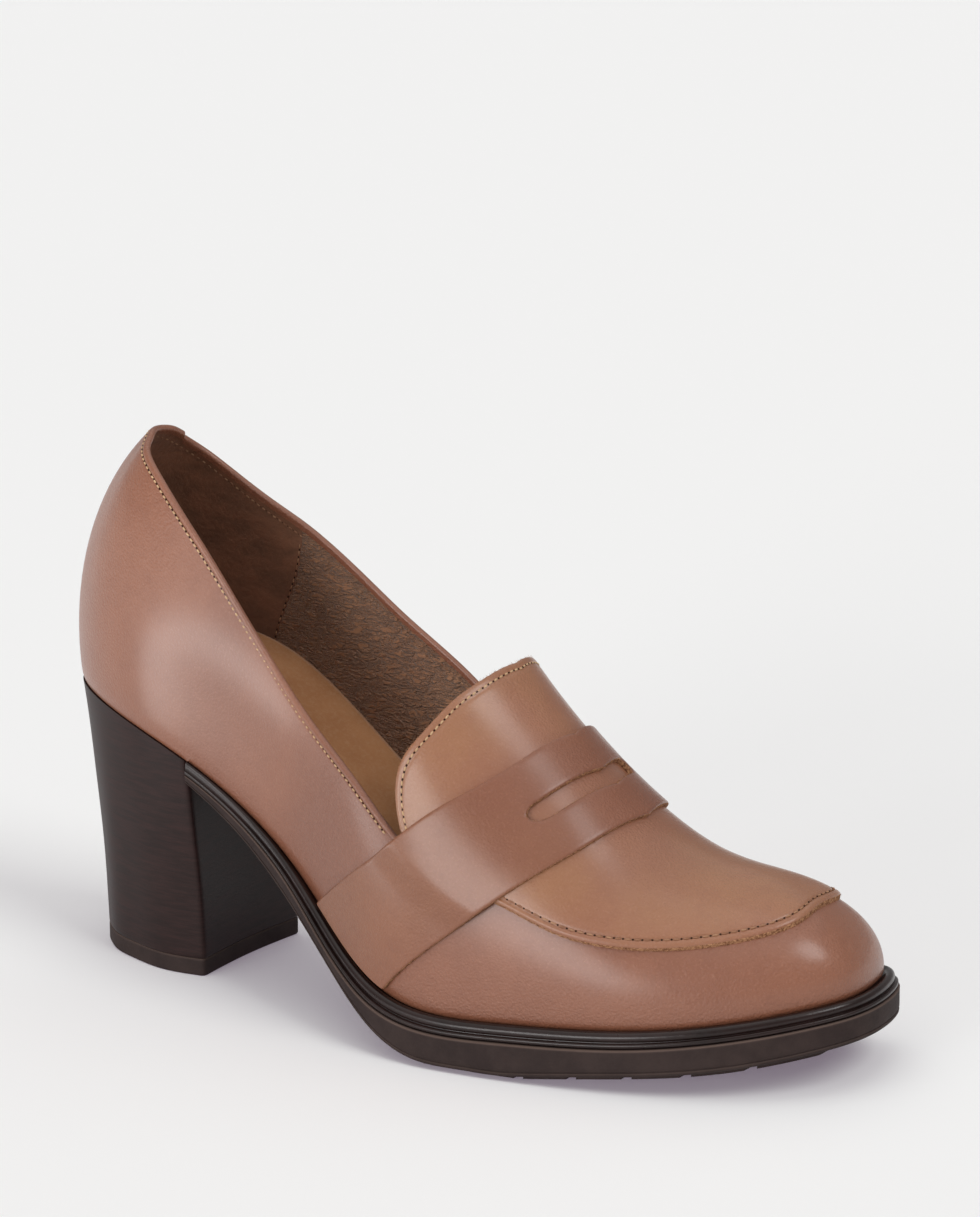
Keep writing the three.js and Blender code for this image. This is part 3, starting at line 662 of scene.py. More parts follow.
def upper_top(t):
    """Height of the upper's edge: the collar, the throat's curve, a small lap at the inner back."""
    side = from_heel(t)
    turn = np.abs(side)
    k = np.clip((turn - THROAT_FROM) / (THROAT_TO - THROAT_FROM), 0, 1)
    start = collar(np.sign(side) * THROAT_FROM)
    throat = mix(start, 1, 1 - np.sqrt(1 - k * k))
    lap = 0.010 * smooth((side + 1.22) / 0.035) * (1 - smooth((side + 0.9) / 0.9))
    return lap + np.where(turn <= THROAT_FROM, collar(np.clip(side, -THROAT_FROM, THROAT_FROM)), throat)


def upper_relief(t, w):
    """Soft dents and swells of the broken-in leather, mm."""
    side = from_heel(t)
    relief = np.zeros_like(side)
    relief -= 0.7 * bell(side, 3.3, 0.75) * bell(w, 0.10, 0.09)
    relief += 0.25 * bell(side, 3.9, 0.8) * bell(w, 0.24, 0.08)
    relief -= 0.25 * bell(side, 1.2, 0.5) * bell(w, 0.20, 0.16)
    relief -= 0.35 * bell(w, 0.0, 0.012)
    return relief


def fine_then_even(whole, fine, rest):
    """Set distances near an edge, then even steps to the end."""
    return np.concatenate([fine, fine[-1] + (whole - fine[-1]) * steps(0, 1, rest)[1:]])


def by_distance(t, low, high, fine, rest, samples=260):
    """Heights w for each t at set distances below high, then even steps down to low."""
    k = np.linspace(0, 1, samples)
    w = mix(high[:, None], low[:, None], k[None])
    return np.array([np.interp(fine_then_even(s[-1], fine, rest), s, row)
                     for s, row in zip(map(distances, last(spread(t, w), w)), w)])


half = np.concatenate([steps(0, THROAT_FROM, 190), steps(THROAT_FROM, THROAT_TO, 24)[1:],
                       steps(THROAT_TO, TIP, 110)[1:]])
loop = np.concatenate([half, LOOP - half[-2:0:-1]])
top = upper_top(loop)
foot = np.zeros_like(top)
open_edge = (np.abs(from_heel(loop)) < THROAT_TO - 0.02)[:, None]
fold_w = by_distance(loop, foot, top, np.array([0, 0.4, 0.8, 1.2, FOLD_DEPTH]), 2)[:, :5]


def grain_side():
    """Outside of the upper and its marks: tucked in at the foot, pressed along the row of stitches, with
    painted shade along the foot next to the welt.
    """
    below_top = np.array([0, 0.25, 0.5, 0.8, 1.1, 1.35, 1.6, 1.9, 2.3, 2.8, 3.4, 4.2, 5.0])
    w = by_distance(loop, foot, top, below_top, UPPER_ROWS)[:, ::-1]
    depth = np.concatenate([np.full(UPPER_ROWS, FAR), below_top[::-1]])
    t = spread(loop, w)
    pressed = -0.20 * bell(depth, TOPLINE_STITCH_IN, 0.40) + 0.10 * bell(depth, 0.4, 0.5)
    outside = skin(t, w, upper_relief(t, w) + open_edge * pressed[None])
    nx, ny = outward(loop)
    tuck = outside[:, 0] - np.stack([nx, ny, 0 * nx], -1) * TUCK + np.array([0, 0, -TUCK])
    # painted shade: the mark darkens the tucked row and the foot of the upper, where it meets the welt
    foot_shade = np.interp(w[len(w) // 4], [0, 0.01, 0.05], [0.9, 0.5, 0.0])
    return np.concatenate([tuck[:, None], outside], 1), np.concatenate([[0.9], foot_shade])


def rolled_edge(outside):
    """The leather turned over at the top and a little way down inside, and its marks."""
    normal = last_normal(loop, top)
    rise = unit(outside[:, -1] - outside[:, -3])
    turn = np.linspace(0, np.pi, 9)[1:-1]
    rim = (outside[:, -1][:, None] - normal[:, None] * (WALL * (1 - np.cos(turn)) / 2)[None, :, None]
           + (rise * open_edge)[:, None] * (WALL * 0.45 * np.sin(turn))[None, :, None])
    fold = skin(spread(loop, fold_w), fold_w, -WALL)
    lip = fold[:, -1] + last_normal(loop, fold_w[:, -1]) * LINING_SINK * 1.6
    marks = np.concatenate([np.full(len(turn), 0.15), np.full(fold.shape[1] + 1, 0.3)])
    return np.concatenate([rim, fold, lip[:, None]], 1), marks


outside, outside_marks = grain_side()
turned, turned_marks = rolled_edge(outside)
wall = np.concatenate([outside, turned], 1)
wall_marks = np.broadcast_to(np.concatenate([outside_marks, turned_marks]), wall.shape[:2])
upper = Shape().grid(wall, wrap=True, mark=wall_marks)
upper.build("upper_leather", MAIN_LEATHER, "upper", ["upper"])

# lining, in two leathers with a lapped seam at each side
SEAM = cubic([0.0, 0.12, 0.24, 0.45, 1.0], [2.95, 3.00, 3.18, 3.27, 3.4])
MM_PER_STATION = 22.0


def lining_side():
    """Inside of the shoe below the fold, and how much each point belongs to the front leather."""
    below_fold = np.array([0, 0.5, 1.0, 1.5, 2.0, 2.5])
    w = by_distance(loop, foot, fold_w[:, -1], below_fold, LINING_ROWS)[:, ::-1]
    t = spread(loop, w)
    past = (np.abs(from_heel(t)) - SEAM(w)) * MM_PER_STATION
    sunk = -(WALL - LINING_SINK) - 0.35 * smooth(past / 1.2 + 0.5) * np.exp(-np.clip(past, 0, None) / 14)
    return skin(t, w, sunk), smooth(past / 0.6 + 0.5)


inside, is_front = lining_side()
Shape().grid(inside, wrap=True, flip=True, mark=is_front).build("lining", lining_leather(), "upper")

# apron and tongue, one plug laid on the upper
past_tip = [LOOP - station for station in APRON_EDGE["station"][-2::-1]]
apron_edge = cubic(APRON_EDGE["station"] + past_tip, APRON_EDGE["up"] + APRON_EDGE["up"][-2::-1])
tongue_edge = cubic(TONGUE_EDGE["up"], TONGUE_EDGE["station"])
START = APRON_EDGE["station"][0]


def plug_place(k, s):
    w = mix(apron_edge(k), 1, s)
    fade = 1 - smooth((k - START) / TONGUE_FADE)
    t = k + (tongue_edge(mix(TONGUE_EDGE["up"][0], 1, s)) - START) * fade
    return t, w


def plug_shares(ks, fine, rest):
    """Shares s for each k at set distances in from the apron edge."""
    s = np.linspace(0, 1, 300)
    rows = []
    for k in ks:
        t, w = plug_place(k, s)
        reach = distances(last(t, w))
        rows.append(np.interp(fine_then_even(reach[-1], fine, rest), reach, s))
    return np.array(rows)


# one mm forward from the plug's rear edge, in stations
PER_MM = 1 / 38.0


def plug_leather():
    """Top and underside of the plug, rounded at its edges and pressed along its rows of stitches."""
    near_rear = START + np.array([0, 0.25, 0.5, 0.8, 1.1, 1.5, 1.9, 2.3, 2.7, 3.2, 3.8, 4.5]) * PER_MM
    stations = np.concatenate([near_rear, steps(near_rear[-1], TIP, 190)[1:]])
    near_apron = np.array([0, 0.2, 0.45, 0.8, 1.2, 1.6, 2.0, 2.3, 2.6, 3.0, 3.5, 4.2, 5.0])
    shares = plug_shares(stations, near_apron, PLUG_ROWS)
    t, w = plug_place(spread(stations, shares), shares)
    from_apron = np.concatenate([near_apron, np.full(PLUG_ROWS, FAR)])[None]
    from_rear = ((stations - START) / PER_MM)[:, None]
    from_edge = np.minimum(from_apron, from_rear)
    off = CLEARANCE + PLUG_THICKNESS - 0.28 * np.exp(-from_edge / 0.22)
    off = off - 0.24 * bell(from_apron, APRON_STITCH_IN, 0.42)
    off = off - 0.18 * bell(from_rear, TONGUE_STITCH_IN, 0.4) + 0.10 * bell(from_apron, 1.1, 0.6)
    plug = Shape()
    for mirror in (False, True):
        side = LOOP - t if mirror else t
        plug.grid(skin(side, w, off), flip=mirror, mark=0.5 * np.exp(-from_edge / 0.9))
        plug.grid(skin(side, w, CLEARANCE), flip=not mirror, mark=0.4)
    return plug


plug_leather().build("apron_and_tongue", APRON_LEATHER, "apron_tongue", ["apron_tongue"])


def edge_line(t, w, off, facing=1):
    return Line(skin(t, w, off), facing * last_normal(t, w))


def joined(a, b):
    """Outer half, then the inner half backwards, with the shared ridge point once."""
    points = np.concatenate([a.points, b.points[::-1][1:]])
    return Line(points, np.concatenate([a.normals, b.normals[::-1][1:]]))


TOP_OFF = CLEARANCE + PLUG_THICKNESS
k_line = steps(START, TIP, 400)
t_a, w_a = plug_place(k_line, 0 * k_line)
apron_line = joined(edge_line(t_a, w_a, TOP_OFF), edge_line(LOOP - t_a, w_a, TOP_OFF))
s_line = steps(0, 1, 240)
t_b, w_b = plug_place(np.full_like(s_line, START), s_line)
tongue_line = joined(edge_line(t_b, w_b, TOP_OFF), edge_line(LOOP - t_b, w_b, TOP_OFF))


def raw_wall(shape, line, side, height, lean, seed, rough=0.12, top_sink=0.22):
    """Cut leather edge: a fuzzy uneven band from the grain side down. side +1 is left of the run."""
    s = line.reach
    out = np.cross(line.normals, line.run) * side
    levels = np.array([0, 0.12, 0.3, 0.5, 0.7, 0.88, 1.0])
    push = np.array([-0.10, 0.02, 0.06, 0.08, 0.10, 0.10, 0.05])
    rows = []
    for j, (level, extra) in enumerate(zip(levels, push)):
        uneven = rough * wobble(s, seed + j) * (0.4 if j == 0 else 1.0)
        rows.append(line.points + out * (extra + lean * level + uneven)[:, None]
                    - line.normals * (top_sink + (height - top_sink) * level))
    shape.grid(np.stack(rows, 1), flip=side > 0, mark=levels[None])


raw_edges = Shape()
raw_wall(raw_edges, apron_line, -1, PLUG_THICKNESS + CLEARANCE + 0.15, 0.45, 20, rough=0.17)
raw_wall(raw_edges, tongue_line, 1, PLUG_THICKNESS + 0.1, 0.0, 40, rough=0.10)

# strap with its slot
strap_rear = cubic(STRAP_EDGE["up"], np.array(STRAP_EDGE["rear"]) * LAST_LENGTH)
strap_front = cubic(STRAP_EDGE["up"], np.array(STRAP_EDGE["front"]) * LAST_LENGTH)


def strap_place(a, b):
    """a: -1 outer foot, 0 ridge, 1 inner foot. b: 0 rear edge, 1 front edge."""
    w = mix(1, STRAP_FOOT, np.abs(a))
    x = mix(strap_rear(w), strap_front(w), b)
    low, high = np.full(w.shape, 3.0), np.full(w.shape, 9.0)

    def halfway():
        t = (low + high) / 2
        return t, np.where(a <= 0, t, LOOP - t)

    for _ in range(34):
        t, place_t = halfway()
        short = last(place_t, w)[..., 0] < x
        low, high = np.where(short, t, low), np.where(short, high, t)
    return halfway()[1], w


def strap_skin(a, b, off):
    t, w = strap_place(a, b)
    over = CLEARANCE + (PLUG_THICKNESS + CLEARANCE) * smooth((w - 0.20) / 0.09)
    return last(t, w) + last_normal(t, w) * (over + off)[..., None], last_normal(t, w)


def slot_half(a):
    k = np.clip(np.minimum(a - SLOT["from"], SLOT["to"] - a) / SLOT["round"], 0, 1)
    return SLOT["half"] * np.sqrt(np.maximum(1 - (1 - k) ** 2, 0))


ends = SLOT["round"] * (1 - np.cos(np.linspace(0, np.pi / 2, 14)))
straight = steps(SLOT["from"] + SLOT["round"], SLOT["to"] - SLOT["round"], 120)[1:-1]
cut = np.concatenate([SLOT["from"] + ends, straight, SLOT["to"] - ends[::-1]])
run_a = np.concatenate([steps(-1, SLOT["from"], 70)[:-1], cut, steps(SLOT["to"], 1, 80)[1:]])
lip_b = np.array([0, 0.006, 0.014, 0.026, 0.045, 0.07])
STRAP_WIDTH = 35
half_slot = slot_half(run_a)
strap = Shape()


def strap_strip(b_from, b_to, slot_low, slot_high):
    """One side of the slot: rows of b between two edges, with rolled lips."""
    wide = (b_to - b_from)[:, None]
    fine_low = b_from[:, None] + lip_b[None]
    fine_high = (b_to[:, None] - lip_b[None])[:, ::-1]
    between = b_from[:, None] + lip_b[-1] + (wide - 2 * lip_b[-1]) * steps(0, 1, 14)[None]
    b = np.concatenate([fine_low[:, :-1], between, fine_high[:, 1:]], 1)
    from_low = np.concatenate([lip_b, np.full(b.shape[1] - len(lip_b), FAR)])[None] * STRAP_WIDTH

    def near_lips(amount, depth):
        low, high = (amount * np.exp(-far / depth) for far in (from_low, from_low[:, ::-1]))
        return low * slot_low + high * slot_high

    p, _ = strap_skin(spread(run_a, b), b, STRAP_THICKNESS - near_lips(0.30, 0.28))
    strap.grid(p, mark=near_lips(0.35, 0.8))


in_slot = (half_slot > 0.004)[:, None]
strap_strip(0 * run_a, 0.5 - half_slot, np.ones_like(in_slot, float), in_slot.astype(float))
strap_strip(0.5 + half_slot, 0 * run_a + 1, in_slot.astype(float), np.ones_like(in_slot, float))
strap.build("saddle_strap_leather", STRAP_LEATHER, "saddle_strap", ["saddle_strap"])


def strap_line(a, b, off=STRAP_THICKNESS):
    p, n = strap_skin(a, b, off)
    return Line(p, n)


line_a = steps(-1, 1, 500)
rear_line = strap_line(line_a, 0 * line_a)
front_line = strap_line(line_a, 0 * line_a + 1)
slot_rear = strap_line(cut, 0.5 - slot_half(cut))
slot_front = strap_line(cut, 0.5 + slot_half(cut))
STRAP_DROP = STRAP_THICKNESS + CLEARANCE
for line, side, seed in ((rear_line, 1, 60), (front_line, -1, 80)):
    raw_wall(raw_edges, line, side, STRAP_DROP + 0.2, 0.0, seed, rough=0.05, top_sink=0.2)
for line, side, seed in ((slot_rear, -1, 100), (slot_front, 1, 120)):
    raw_wall(raw_edges, line, side, STRAP_DROP, 0.05, seed, rough=0.10, top_sink=0.18)
raw_edges.build("raw_edges", RAW_EDGE, "apron_tongue", weld=0)

# stitches, and dark beads for the needle holes with their shade painted in
threads, dark_threads, holes = Shape(), Shape(), Shape()
t_c = steps(-THROAT_FROM + 0.02, THROAT_FROM - 0.02, 700)
t_round = t_c % LOOP
rim_up = upper_top(t_round)
topline = edge_line(t_round, rim_up, 0.0)
stitch(threads, holes, topline.beside(-TOPLINE_STITCH_IN), TOPLINE_PITCH, sink=0.12, tilt=0.12)
tongue_row = tongue_line.beside(-TONGUE_STITCH_IN)
stitch(threads, holes, tongue_row, TONGUE_PITCH, start=3.0, end=3.0, sink=0.16, tilt=0.12)
apron_row = apron_line.beside(APRON_STITCH_IN)
stitch(dark_threads, holes, apron_row, APRON_PITCH, start=6, end=6, sink=0.14, hole=0.6)
under_fold = skin(t_round, collar(t_c) - 0.012, -WALL + LINING_SINK)
fold_line = Line(under_fold, -last_normal(t_round, collar(t_c)))
stitch(dark_threads, holes, fold_line.beside(FOLD_STITCH_IN), FOLD_PITCH, sink=0.12)
w_seam = steps(0.09, 0.33, 160)
for mirrored in (False, True):
    t_seam = SEAM(w_seam) - 0.02
    t_seam = LOOP - t_seam if mirrored else t_seam
    seam_line = edge_line(t_seam, w_seam, -WALL + LINING_SINK - 0.05, facing=-1)
    stitch(dark_threads, holes, seam_line, SEAM_PITCH, sink=0.05, width=0.4)
threads.build("edge_stitches", beige_thread(), "upper", weld=0, sharp=0)
dark_threads.build("seam_stitches", brown_thread(), "apron_tongue", weld=0, sharp=0)
holes.build("needle_holes", needle_hole_shade(), "upper", weld=0, sharp=0)

# insole
def level_row(t, off, height):
    nx, ny = outward(t)
    x = feather_x(t) + nx * off
    return np.stack([x, feather_y(t) + ny * off, height(x)], -1)


def plate(shape, ts, profile, across, rear_cap=True, marks=None):
    """Closed plate from rim profiles of (offset function, height function), top to bottom."""
    outer_rows, inner_rows = (np.stack([level_row(side, o(feather_x(ts)), h) for o, h in profile], 1)
                              for side in (ts, LOOP - ts))
    marks = np.zeros(len(profile)) if marks is None else np.array(marks)
    shape.grid(outer_rows, mark=marks[None], flip=True)
    shape.grid(inner_rows, mark=marks[None])
    k = steps(0, 1, across)[None, :, None]

    def span(level):
        a, b = outer_rows[:, level][:, None], inner_rows[:, level][:, None]
        p = a + (b - a) * k
        p[..., 2] = profile[level][1](p[..., 0])
        return p
    shape.grid(span(0), flip=True, mark=marks[0])
    shape.grid(span(-1), mark=marks[-1])
    if rear_cap:
        rear = outer_rows[0][:, None] + (inner_rows[0] - outer_rows[0])[:, None] * k[0]
        shape.grid(rear, mark=marks[:, None], flip=True)
    return shape


INSET = -(WALL - LINING_SINK) - 0.15


def footbed():
    """Contoured sock: its edge climbs the wall, most under the arch, and its middle is dished."""
    ts = np.concatenate([steps(0, 1, 50), steps(1, 9, 240)[1:], steps(9, TIP, 50)[1:]])
    shape = Shape()
    rims = []
    for table, mirrored in ((FOOTBED["outer"], False), (FOOTBED["inner"], True)):
        up = cubic(FOOTBED["station"], table)(ts)
        place_t = LOOP - ts if mirrored else ts
        levels = [skin(place_t, up * share, INSET - inward)
                  for share, inward in ((1, 1.6), (1, 0.7), (1, 0.2), (0.9, 0), (0.5, 0))]
        levels.append(level_row(place_t, INSET, lambda x: feather_z(x) + CLEARANCE))
        for level, sink in ((1, 0.08), (2, 0.35)):
            levels[level] = levels[level] - np.array([0, 0, sink])
        rows = np.stack(levels, 1)
        rims.append(rows)
        shape.grid(rows, flip=not mirrored)
    k = steps(0, 1, 36)[None, :, None]
    a, b = rims[0][:, 0][:, None], rims[1][:, 0][:, None]
    top = a + (b - a) * k
    wide = np.minimum(1, np.abs(b[..., 1] - a[..., 1]) / (BALL_WIDTH / 2))
    top[..., 2] -= FOOTBED_DISH * wide * (4 * k * (1 - k))[..., 0]
    shape.grid(top, flip=True)
    a, b = rims[0][:, -1][:, None], rims[1][:, -1][:, None]
    low = a + (b - a) * k
    low[..., 2] = feather_z(low[..., 0]) + CLEARANCE
    shape.grid(low)
    return shape


footbed().build("insole_sock", insole_suede(), "insole", ["insole"])


# welt and outsole
def station_for(x):
    low, high = 1.0, 8.0
    for _ in range(40):
        t = (low + high) / 2
        low, high = (t, high) if feather_x(t) < x else (low, t)
    return low


breast_t = station_for(SOLE_START)
front_ts = np.concatenate([steps(breast_t, 7, 170), steps(7, TIP, 130)[1:]])


def from_waist(at_waist, in_front):
    """A width or depth that goes from its value at the waist to its value in front."""
    return lambda x: mix(at_waist, in_front, smooth((x / LAST_LENGTH - 0.22) / 0.24))


welt_depth = from_waist(WELT_WAIST_HEIGHT, WELT_HEIGHT)
welt_out = from_waist(WAIST_PROJECTION, WELT_PROJECTION)
sole_out = from_waist(WAIST_PROJECTION, SOLE_PROJECTION)

# out as share of projection, down as share of height
WELT_PROFILE = np.array([
    [-0.20, 0.06], [-0.02, 0.08], [0.05, 0.05], [0.11, -0.02], [0.19, -0.07], [0.28, -0.10], [0.38, -0.10],
    [0.48, -0.07], [0.57, -0.01], [0.65, 0.08], [0.70, 0.18], [0.73, 0.28], [0.74, 0.38], [0.735, 0.48],
    [0.70, 0.57], [0.67, 0.62], [0.68, 0.655], [0.76, 0.665], [0.86, 0.675], [0.93, 0.70], [0.965, 0.75],
    [0.975, 0.83], [0.97, 0.92], [0.93, 0.98], [0.84, 1.00], [0.55, 1.02],
])
welt_levels = [((lambda x, o=o: o * welt_out(x)), (lambda x, d=d: feather_z(x) - d * welt_depth(x)))
               for o, d in WELT_PROFILE]
plate(Shape(), front_ts, welt_levels, 6).build("welt_strip", welt_polish(), "welt", ["welt"])


def sole_top(x):
    return feather_z(x) - welt_depth(x) - CLEARANCE


def squeeze(x):
    return np.minimum(1, (sole_top(x) - sole_z(x)) / 5)


# out, down from the top or up from the ground side, mark for the painted highlight on the edges
SOLE_PROFILE = [
    (-1.6, "top", 0.0, 0.0), (-0.75, "top", 0.0, 0.3), (-0.35, "top", 0.05, 0.9), (-0.10, "top", 0.18, 1.0),
    (0.0, "top", 0.40, 0.9), (0.0, "top", 0.60, 0.2), (-0.04, "top", 0.9, 0.0), (0.0, "floor", 3.0, 0.0),
    (0.0, "floor", 1.8, 0.0), (-0.06, "floor", 1.60, 0.1), (-0.30, "floor", 1.42, 0.0),
    (-0.30, "floor", 1.22, 0.0), (-0.05, "floor", 1.02, 0.35), (-0.02, "floor", 0.85, 0.1),
    (-0.10, "floor", 0.42, 0.0), (-0.32, "floor", 0.14, 0.0), (-0.75, "floor", 0.0, 0.0),
]


def sole_height(kind, amount):
    if kind == "floor":
        return lambda x: sole_z(x) + amount * squeeze(x)
    return lambda x: sole_top(x) - amount * squeeze(x)


sole_levels = [((lambda x, o=o: sole_out(x) + o), sole_height(kind, amount))
               for o, kind, amount, _ in SOLE_PROFILE]
outsole = plate(Shape(), front_ts, sole_levels, 8, marks=[m for *_, m in SOLE_PROFILE])

# tread bars under the forefoot
PAD_INSET = 3.0
BAR, GAP = 11.5, 2.6
TREAD_FROM, TREAD_TO = 0.53 * LAST_LENGTH, 0.95 * LAST_LENGTH
near_end = np.array([0, 0.15, 0.5])
dense = steps(3, TIP, 900)


def pad_side(mirror):
    ts = LOOP - dense if mirror else dense
    p = level_row(ts, sole_out(feather_x(ts)) - PAD_INSET, sole_z)
    order = np.argsort(p[:, 0])
    return p[order, 0], p[order, 1]


pad_edges = [pad_side(False), pad_side(True)]


def tread_bar(start):
    """One bar across the sole, ground flat underneath, with eased edges and four upright sides."""
    middle_x = steps(start + near_end[-1], start + BAR - near_end[-1], 10)[1:-1]
    xs = np.concatenate([start + near_end, middle_x, start + BAR - near_end[::-1]])
    ys = steps(-1, 1, 24)
    y_a, y_b = (np.interp(xs, *side) for side in pad_edges)
    Y = (y_a + y_b)[:, None] / 2 + (y_b - y_a)[:, None] / 2 * ys[None]
    X = spread(xs, Y)
    from_end = np.minimum(xs - xs[0], xs[-1] - xs)
    from_side = (y_b - y_a)[:, None] / 2 * (1 - np.abs(ys[None]))
    eased = 0.3 * np.exp(-np.minimum(from_end[:, None], from_side) / 0.25)
    low = np.stack([X, Y, np.maximum(0, sole_z(X) - PAD_DEPTH) + eased], -1)
    outsole.grid(low)
    for row, flip in ((low[0], False), (low[-1], True), (low[:, 0], True), (low[:, -1], False)):
        high = row.copy()
        high[:, 2] = sole_z(row[:, 0]) + 0.1
        outsole.grid(np.stack([row, high], 0), flip=flip)


bar_x = TREAD_FROM
while bar_x < TREAD_TO:
    tread_bar(bar_x)
    bar_x += BAR + GAP
outsole.build("outsole_rubber", RUBBER, "outsole", ["outsole"])


# heel block and lift
def evenly(p, count):
    s = distances(p)
    want = steps(0, s[-1], count)
    return np.stack([np.interp(want, s, p[:, i]) for i in range(p.shape[1])], -1)


ROUND = 150
k = steps(0, len(HEEL_FOOT["x"]) - 1, 900)
index = np.arange(len(HEEL_FOOT["x"]))
foot_x = HEEL_REAR + cubic(index, HEEL_FOOT["x"])(k)
foot_curve = evenly(np.stack([foot_x, cubic(index, HEEL_FOOT["y"])(k)], -1), ROUND)
seat_t = station_for(BREAST_TOP)
t = steps(seat_t, -seat_t, 900)
seat_curve = evenly(np.stack([feather_x(t), feather_y(t)], -1), ROUND)
heel_blend = cubic(HEEL_BLEND["up"], HEEL_BLEND["seat"])
BREAST_STEPS = 48


def closed_ring(curve):
    """Outline from corner to corner round the back, then the hollowed breast, corners eased."""
    k = steps(0, 1, BREAST_STEPS)[1:-1, None]
    a, b = curve[-1], curve[0]
    front = a + (b - a) * k
    front[:, 0] -= BREAST_HOLLOW * np.sin(np.pi * k[:, 0])
    ring = np.concatenate([curve, front])
    eased = ring.copy()
    for _ in range(2):
        eased = (np.roll(eased, 1, 0) + 2 * eased + np.roll(eased, -1, 0)) / 4
    index = np.arange(len(ring))
    gap = np.minimum(np.minimum(index, len(ring) - index), np.abs(index - ROUND))
    soft = np.clip(1 - gap / 4, 0, 1)[:, None]
    return ring * (1 - soft) + eased * soft


def heel_ring(share):
    kk = heel_blend(share)
    z = mix(LIFT_HEIGHT, feather_z(seat_curve[:, 0]) - CLEARANCE, share)
    flat = mix(foot_curve, seat_curve, kk)
    return closed_ring(np.concatenate([flat, z[:, None]], 1))


def cap(shape, ring, flip):
    centre = ring.mean(0)
    scale = np.array([1, 0.97, 0.85, 0.65, 0.4, 0.15, 0.0])[:, None, None]
    rings = centre + (ring - centre)[None] * scale
    shape.grid(rings.transpose(1, 0, 2), wrap=True, flip=flip)


def heel_block():
    """The block from the lift up to the seat, a hair narrower where it meets the lift."""
    shares = np.concatenate([[0.0, 0.004, 0.012], steps(0.03, 1, 60)])
    rings = np.stack([heel_ring(share) for share in shares], 0)
    middle = rings.mean(1, keepdims=True)
    ease = np.concatenate([[0.992, 0.998], np.ones(len(shares) - 2)])[:, None, None]
    eased = middle + (rings - middle) * ease
    eased[..., 2] = rings[..., 2]
    block = Shape().grid(eased.transpose(1, 0, 2), wrap=True)
    cap(block, eased[0], True)
    cap(block, eased[-1], False)
    return block


heel_block().build("heel_stack", stacked_heel(), "heel_block", ["heel_block"])


def lift_ring(z, inward):
    centre = HEEL_REAR + LIFT_CENTRE
    kk = 1 - inward / LIFT_CENTRE
    x = centre + (foot_curve[:, 0] - centre) * kk
    return closed_ring(np.stack([x, foot_curve[:, 1] * kk, np.full(len(x), z)], -1))


# height, inward, mark for the painted highlight along the top edge
LIFT_PROFILE = np.array([
    [0.0, 0.55, 0], [0.12, 0.25, 0], [0.4, 0.05, 0], [0.8, 0, 0], [2.4, 0, 0], [4.3, 0, 0], [4.75, 0.02, 0.3],
    [4.95, 0.12, 0.7], [5.08, 0.4, 0.2],
])
rings = np.stack([lift_ring(z, inward) for z, inward, _ in LIFT_PROFILE], 0)
lift = Shape().grid(rings.transpose(1, 0, 2), wrap=True, mark=LIFT_PROFILE[None, :, 2])
cap(lift, rings[0], True)
cap(lift, rings[-1], False)
lift.build("heel_lift", RUBBER, "top_lift", ["top_lift"])

# loose fibres on the raw edges
def fibres(shape, line, side, count, length, low, high):
    c, n, r = line.at(random.uniform(0, line.reach[-1], count))
    out = np.cross(n, r) * side
    c = c + n * random.uniform(low, high, (count, 1)) + out * 0.05
    way = unit(out + n * random.uniform(-0.3, 0.5, (count, 1)) + r * random.normal(0, 0.7, (count, 1)))
    bend = unit(random.normal(0, 1, (count, 3)))
    size = length * random.uniform(0.35, 1.0, (count, 1))
    k = steps(0, 1, 4)
    spine = (c[:, None] + way[:, None] * (size[:, None] * k[None, :, None])
             + bend[:, None] * (size[:, None] * 0.35 * (k * k)[None, :, None]))
    side_a = unit(np.cross(way, bend))
    side_b = np.cross(way, side_a)
    angle = np.array([0, 2.1, 4.2])
    ring = side_a[:, None] * np.cos(angle)[None, :, None] + side_b[:, None] * np.sin(angle)[None, :, None]
    thick = 0.045 * (1 - 0.75 * k)
    p = spine[:, :, None] + ring[:, None] * thick[None, :, None, None]
    m = len(k) * 3
    i, j = np.arange(len(k) - 1)[:, None] * 3, np.arange(3)[None]
    following = (j + 1) % 3
    one = np.stack([i + j, i + following, i + 3 + following, i + 3 + j], -1).reshape(-1, 4)
    quads = (one[None] + (np.arange(count) * m)[:, None, None]).reshape(-1, 4)
    shape.loose(p.reshape(-1, 3), quads, 0.5)


strands = Shape()
for line, side, count, length, low, high in (
        (apron_line, -1, 900, 0.55, -1.4, -0.1),
        (tongue_line, 1, 260, 0.8, -0.9, -0.1),
        (slot_rear, -1, 160, 0.5, -1.0, -0.1),
        (slot_front, 1, 160, 0.5, -1.0, -0.1),
        (rear_line, 1, 60, 0.4, -0.9, -0.2)):
    fibres(strands, line, side, count, length, low, high)
strands.build("loose_fibres", RAW_EDGE, "apron_tongue", weld=0, sharp=0)

# floor, lights, camera
FLOOR_REACH = 20
# the floor takes shadow gently: part of its light is its own, a little purple
FLOOR_LIGHT = (0.879, 0.879, 0.879)
FLOOR_GLOW = (0.150, 0.118, 0.158)
FLOOR_RECEIVED = 0.967
WORLD_LIGHT = 0.27
COOL, WARM, WHITE = (1.0, 0.985, 0.985), (1.0, 0.99, 0.97), (1.0, 1.0, 1.0)

corners = [(x * FLOOR_REACH, y * FLOOR_REACH, 0) for x, y in ((-1, -1), (1, -1), (1, 1), (-1, 1))]
floor_mesh = bpy.data.meshes.new("floor")
floor_mesh.from_pydata(corners, [], [(0, 1, 2, 3)])
floor = add_object("floor", floor_mesh)
shade = [(total - glow) / FLOOR_RECEIVED for total, glow in zip(FLOOR_LIGHT, FLOOR_GLOW)]
floor_paint = Paint("floor_pale")
floor_paint.set(Base_Color=(*shade, 1), Roughness=0.9, Specular_IOR_Level=0.0,
                Emission_Color=(*FLOOR_GLOW, 1), Emission_Strength=1.0)
floor_mesh.materials.append(floor_paint.material)

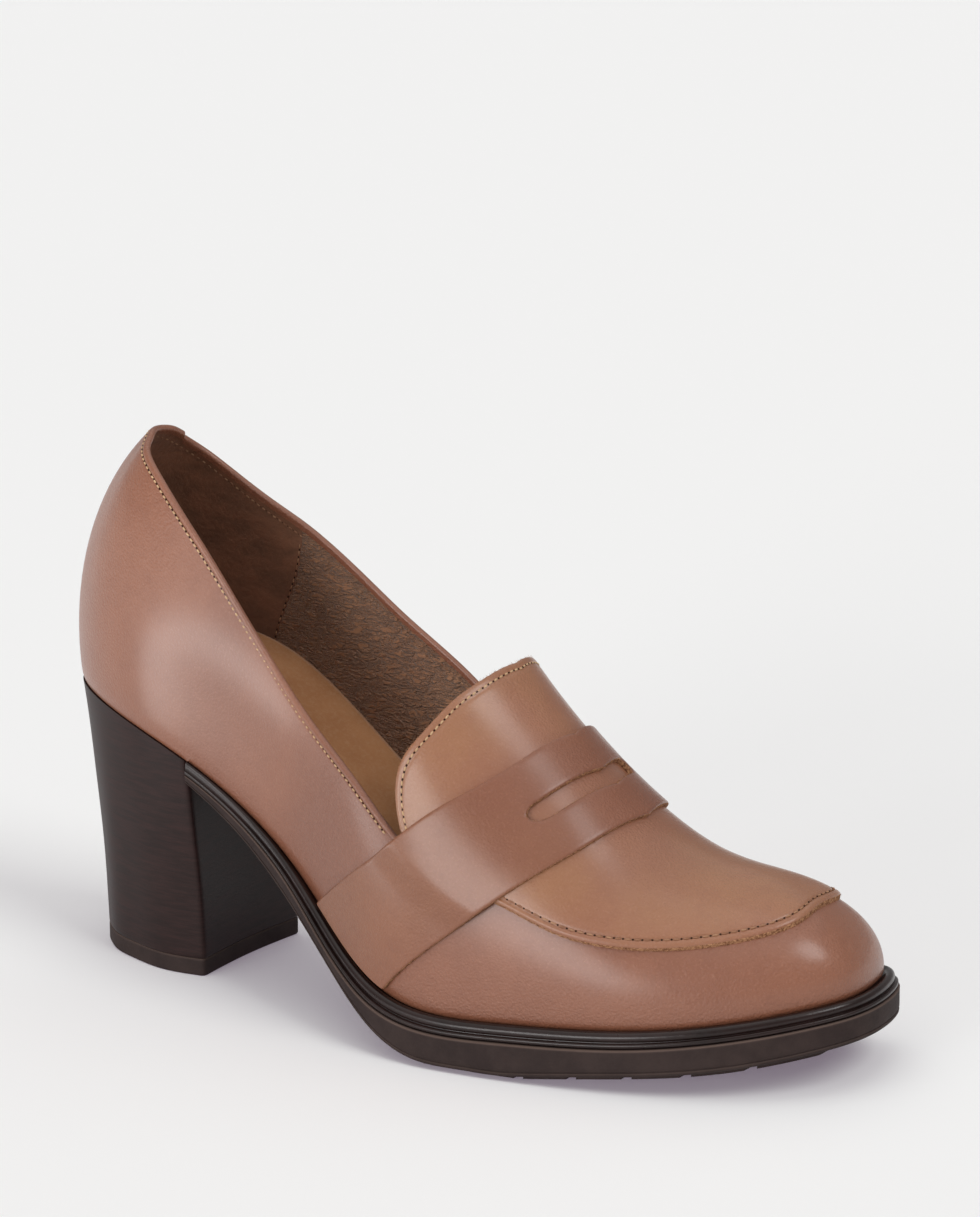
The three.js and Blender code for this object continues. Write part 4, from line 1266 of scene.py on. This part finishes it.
world = bpy.data.worlds.new("studio")
bpy.context.scene.world = world
world.use_nodes = True
background = world.node_tree.nodes["Background"].inputs
background[0].default_value = (*WHITE, 1)
background[1].default_value = WORLD_LIGHT


def aim(item, azimuth, tilt):
    """Turn a lamp or camera to look down at the shoe. azimuth: 0 looks from -Y, 90 from +X."""
    a, e = math.radians(azimuth), math.radians(tilt)
    back = Vector((math.sin(a) * math.cos(e), -math.cos(a) * math.cos(e), math.sin(e)))
    item.rotation_mode = "QUATERNION"
    item.rotation_quaternion = back.to_track_quat("Z", "Y")
    return back


def sun(name, azimuth, elevation, strength, size, colour=WHITE):
    light = bpy.data.lights.new(name, "SUN")
    light.energy, light.angle, light.color = strength, math.radians(size), colour
    aim(add_object(name, light), azimuth, elevation)


sun("left_softbox", -24, 9, 0.34, 30, COOL)
sun("front_softbox", -2, 9, 1.35, 27, COOL)
sun("right_softbox", 84, 47, 1.20, 27)
sun("rear_overhead", 205, 68, 0.60, 70, WARM)
sun("front_overhead", -12, 66, 0.55, 60, WARM)

# a bright card lying on the floor at the front left, below the shoe's side
card = bpy.data.lights.new("floor_card", "AREA")
card.shape, card.size, card.size_y, card.energy = "ELLIPSE", 0.16, 0.34, 1.20
card_lamp = add_object("floor_card", card)
card_lamp.location = (-0.275, -0.345, 0.002)
card_lamp.rotation_euler = (math.pi, 0, 0)

# camera: degrees, mm in the part's own frame, focal length in pixels of the picture
CAMERA = {"azimuth": 34.886, "tilt": 15.953, "distance": 1330.4, "focal": 4993.3,
          "target": (126.21, 14.05, 108.62)}
PICTURE_HEIGHT, SENSOR = 1217, 36
cam_data = bpy.data.cameras.new("camera")
cam_data.sensor_width = SENSOR
cam_data.lens = CAMERA["focal"] * SENSOR / PICTURE_HEIGHT
cam_data.clip_start, cam_data.clip_end = 0.05, 100
camera = add_object("camera", cam_data)
back = aim(camera, CAMERA["azimuth"], CAMERA["tilt"])
camera.location = Vector(place(CAMERA["target"]).tolist()) + back * (CAMERA["distance"] * MM)
bpy.context.scene.camera = camera
bpy.context.scene.view_settings.view_transform = "Standard"
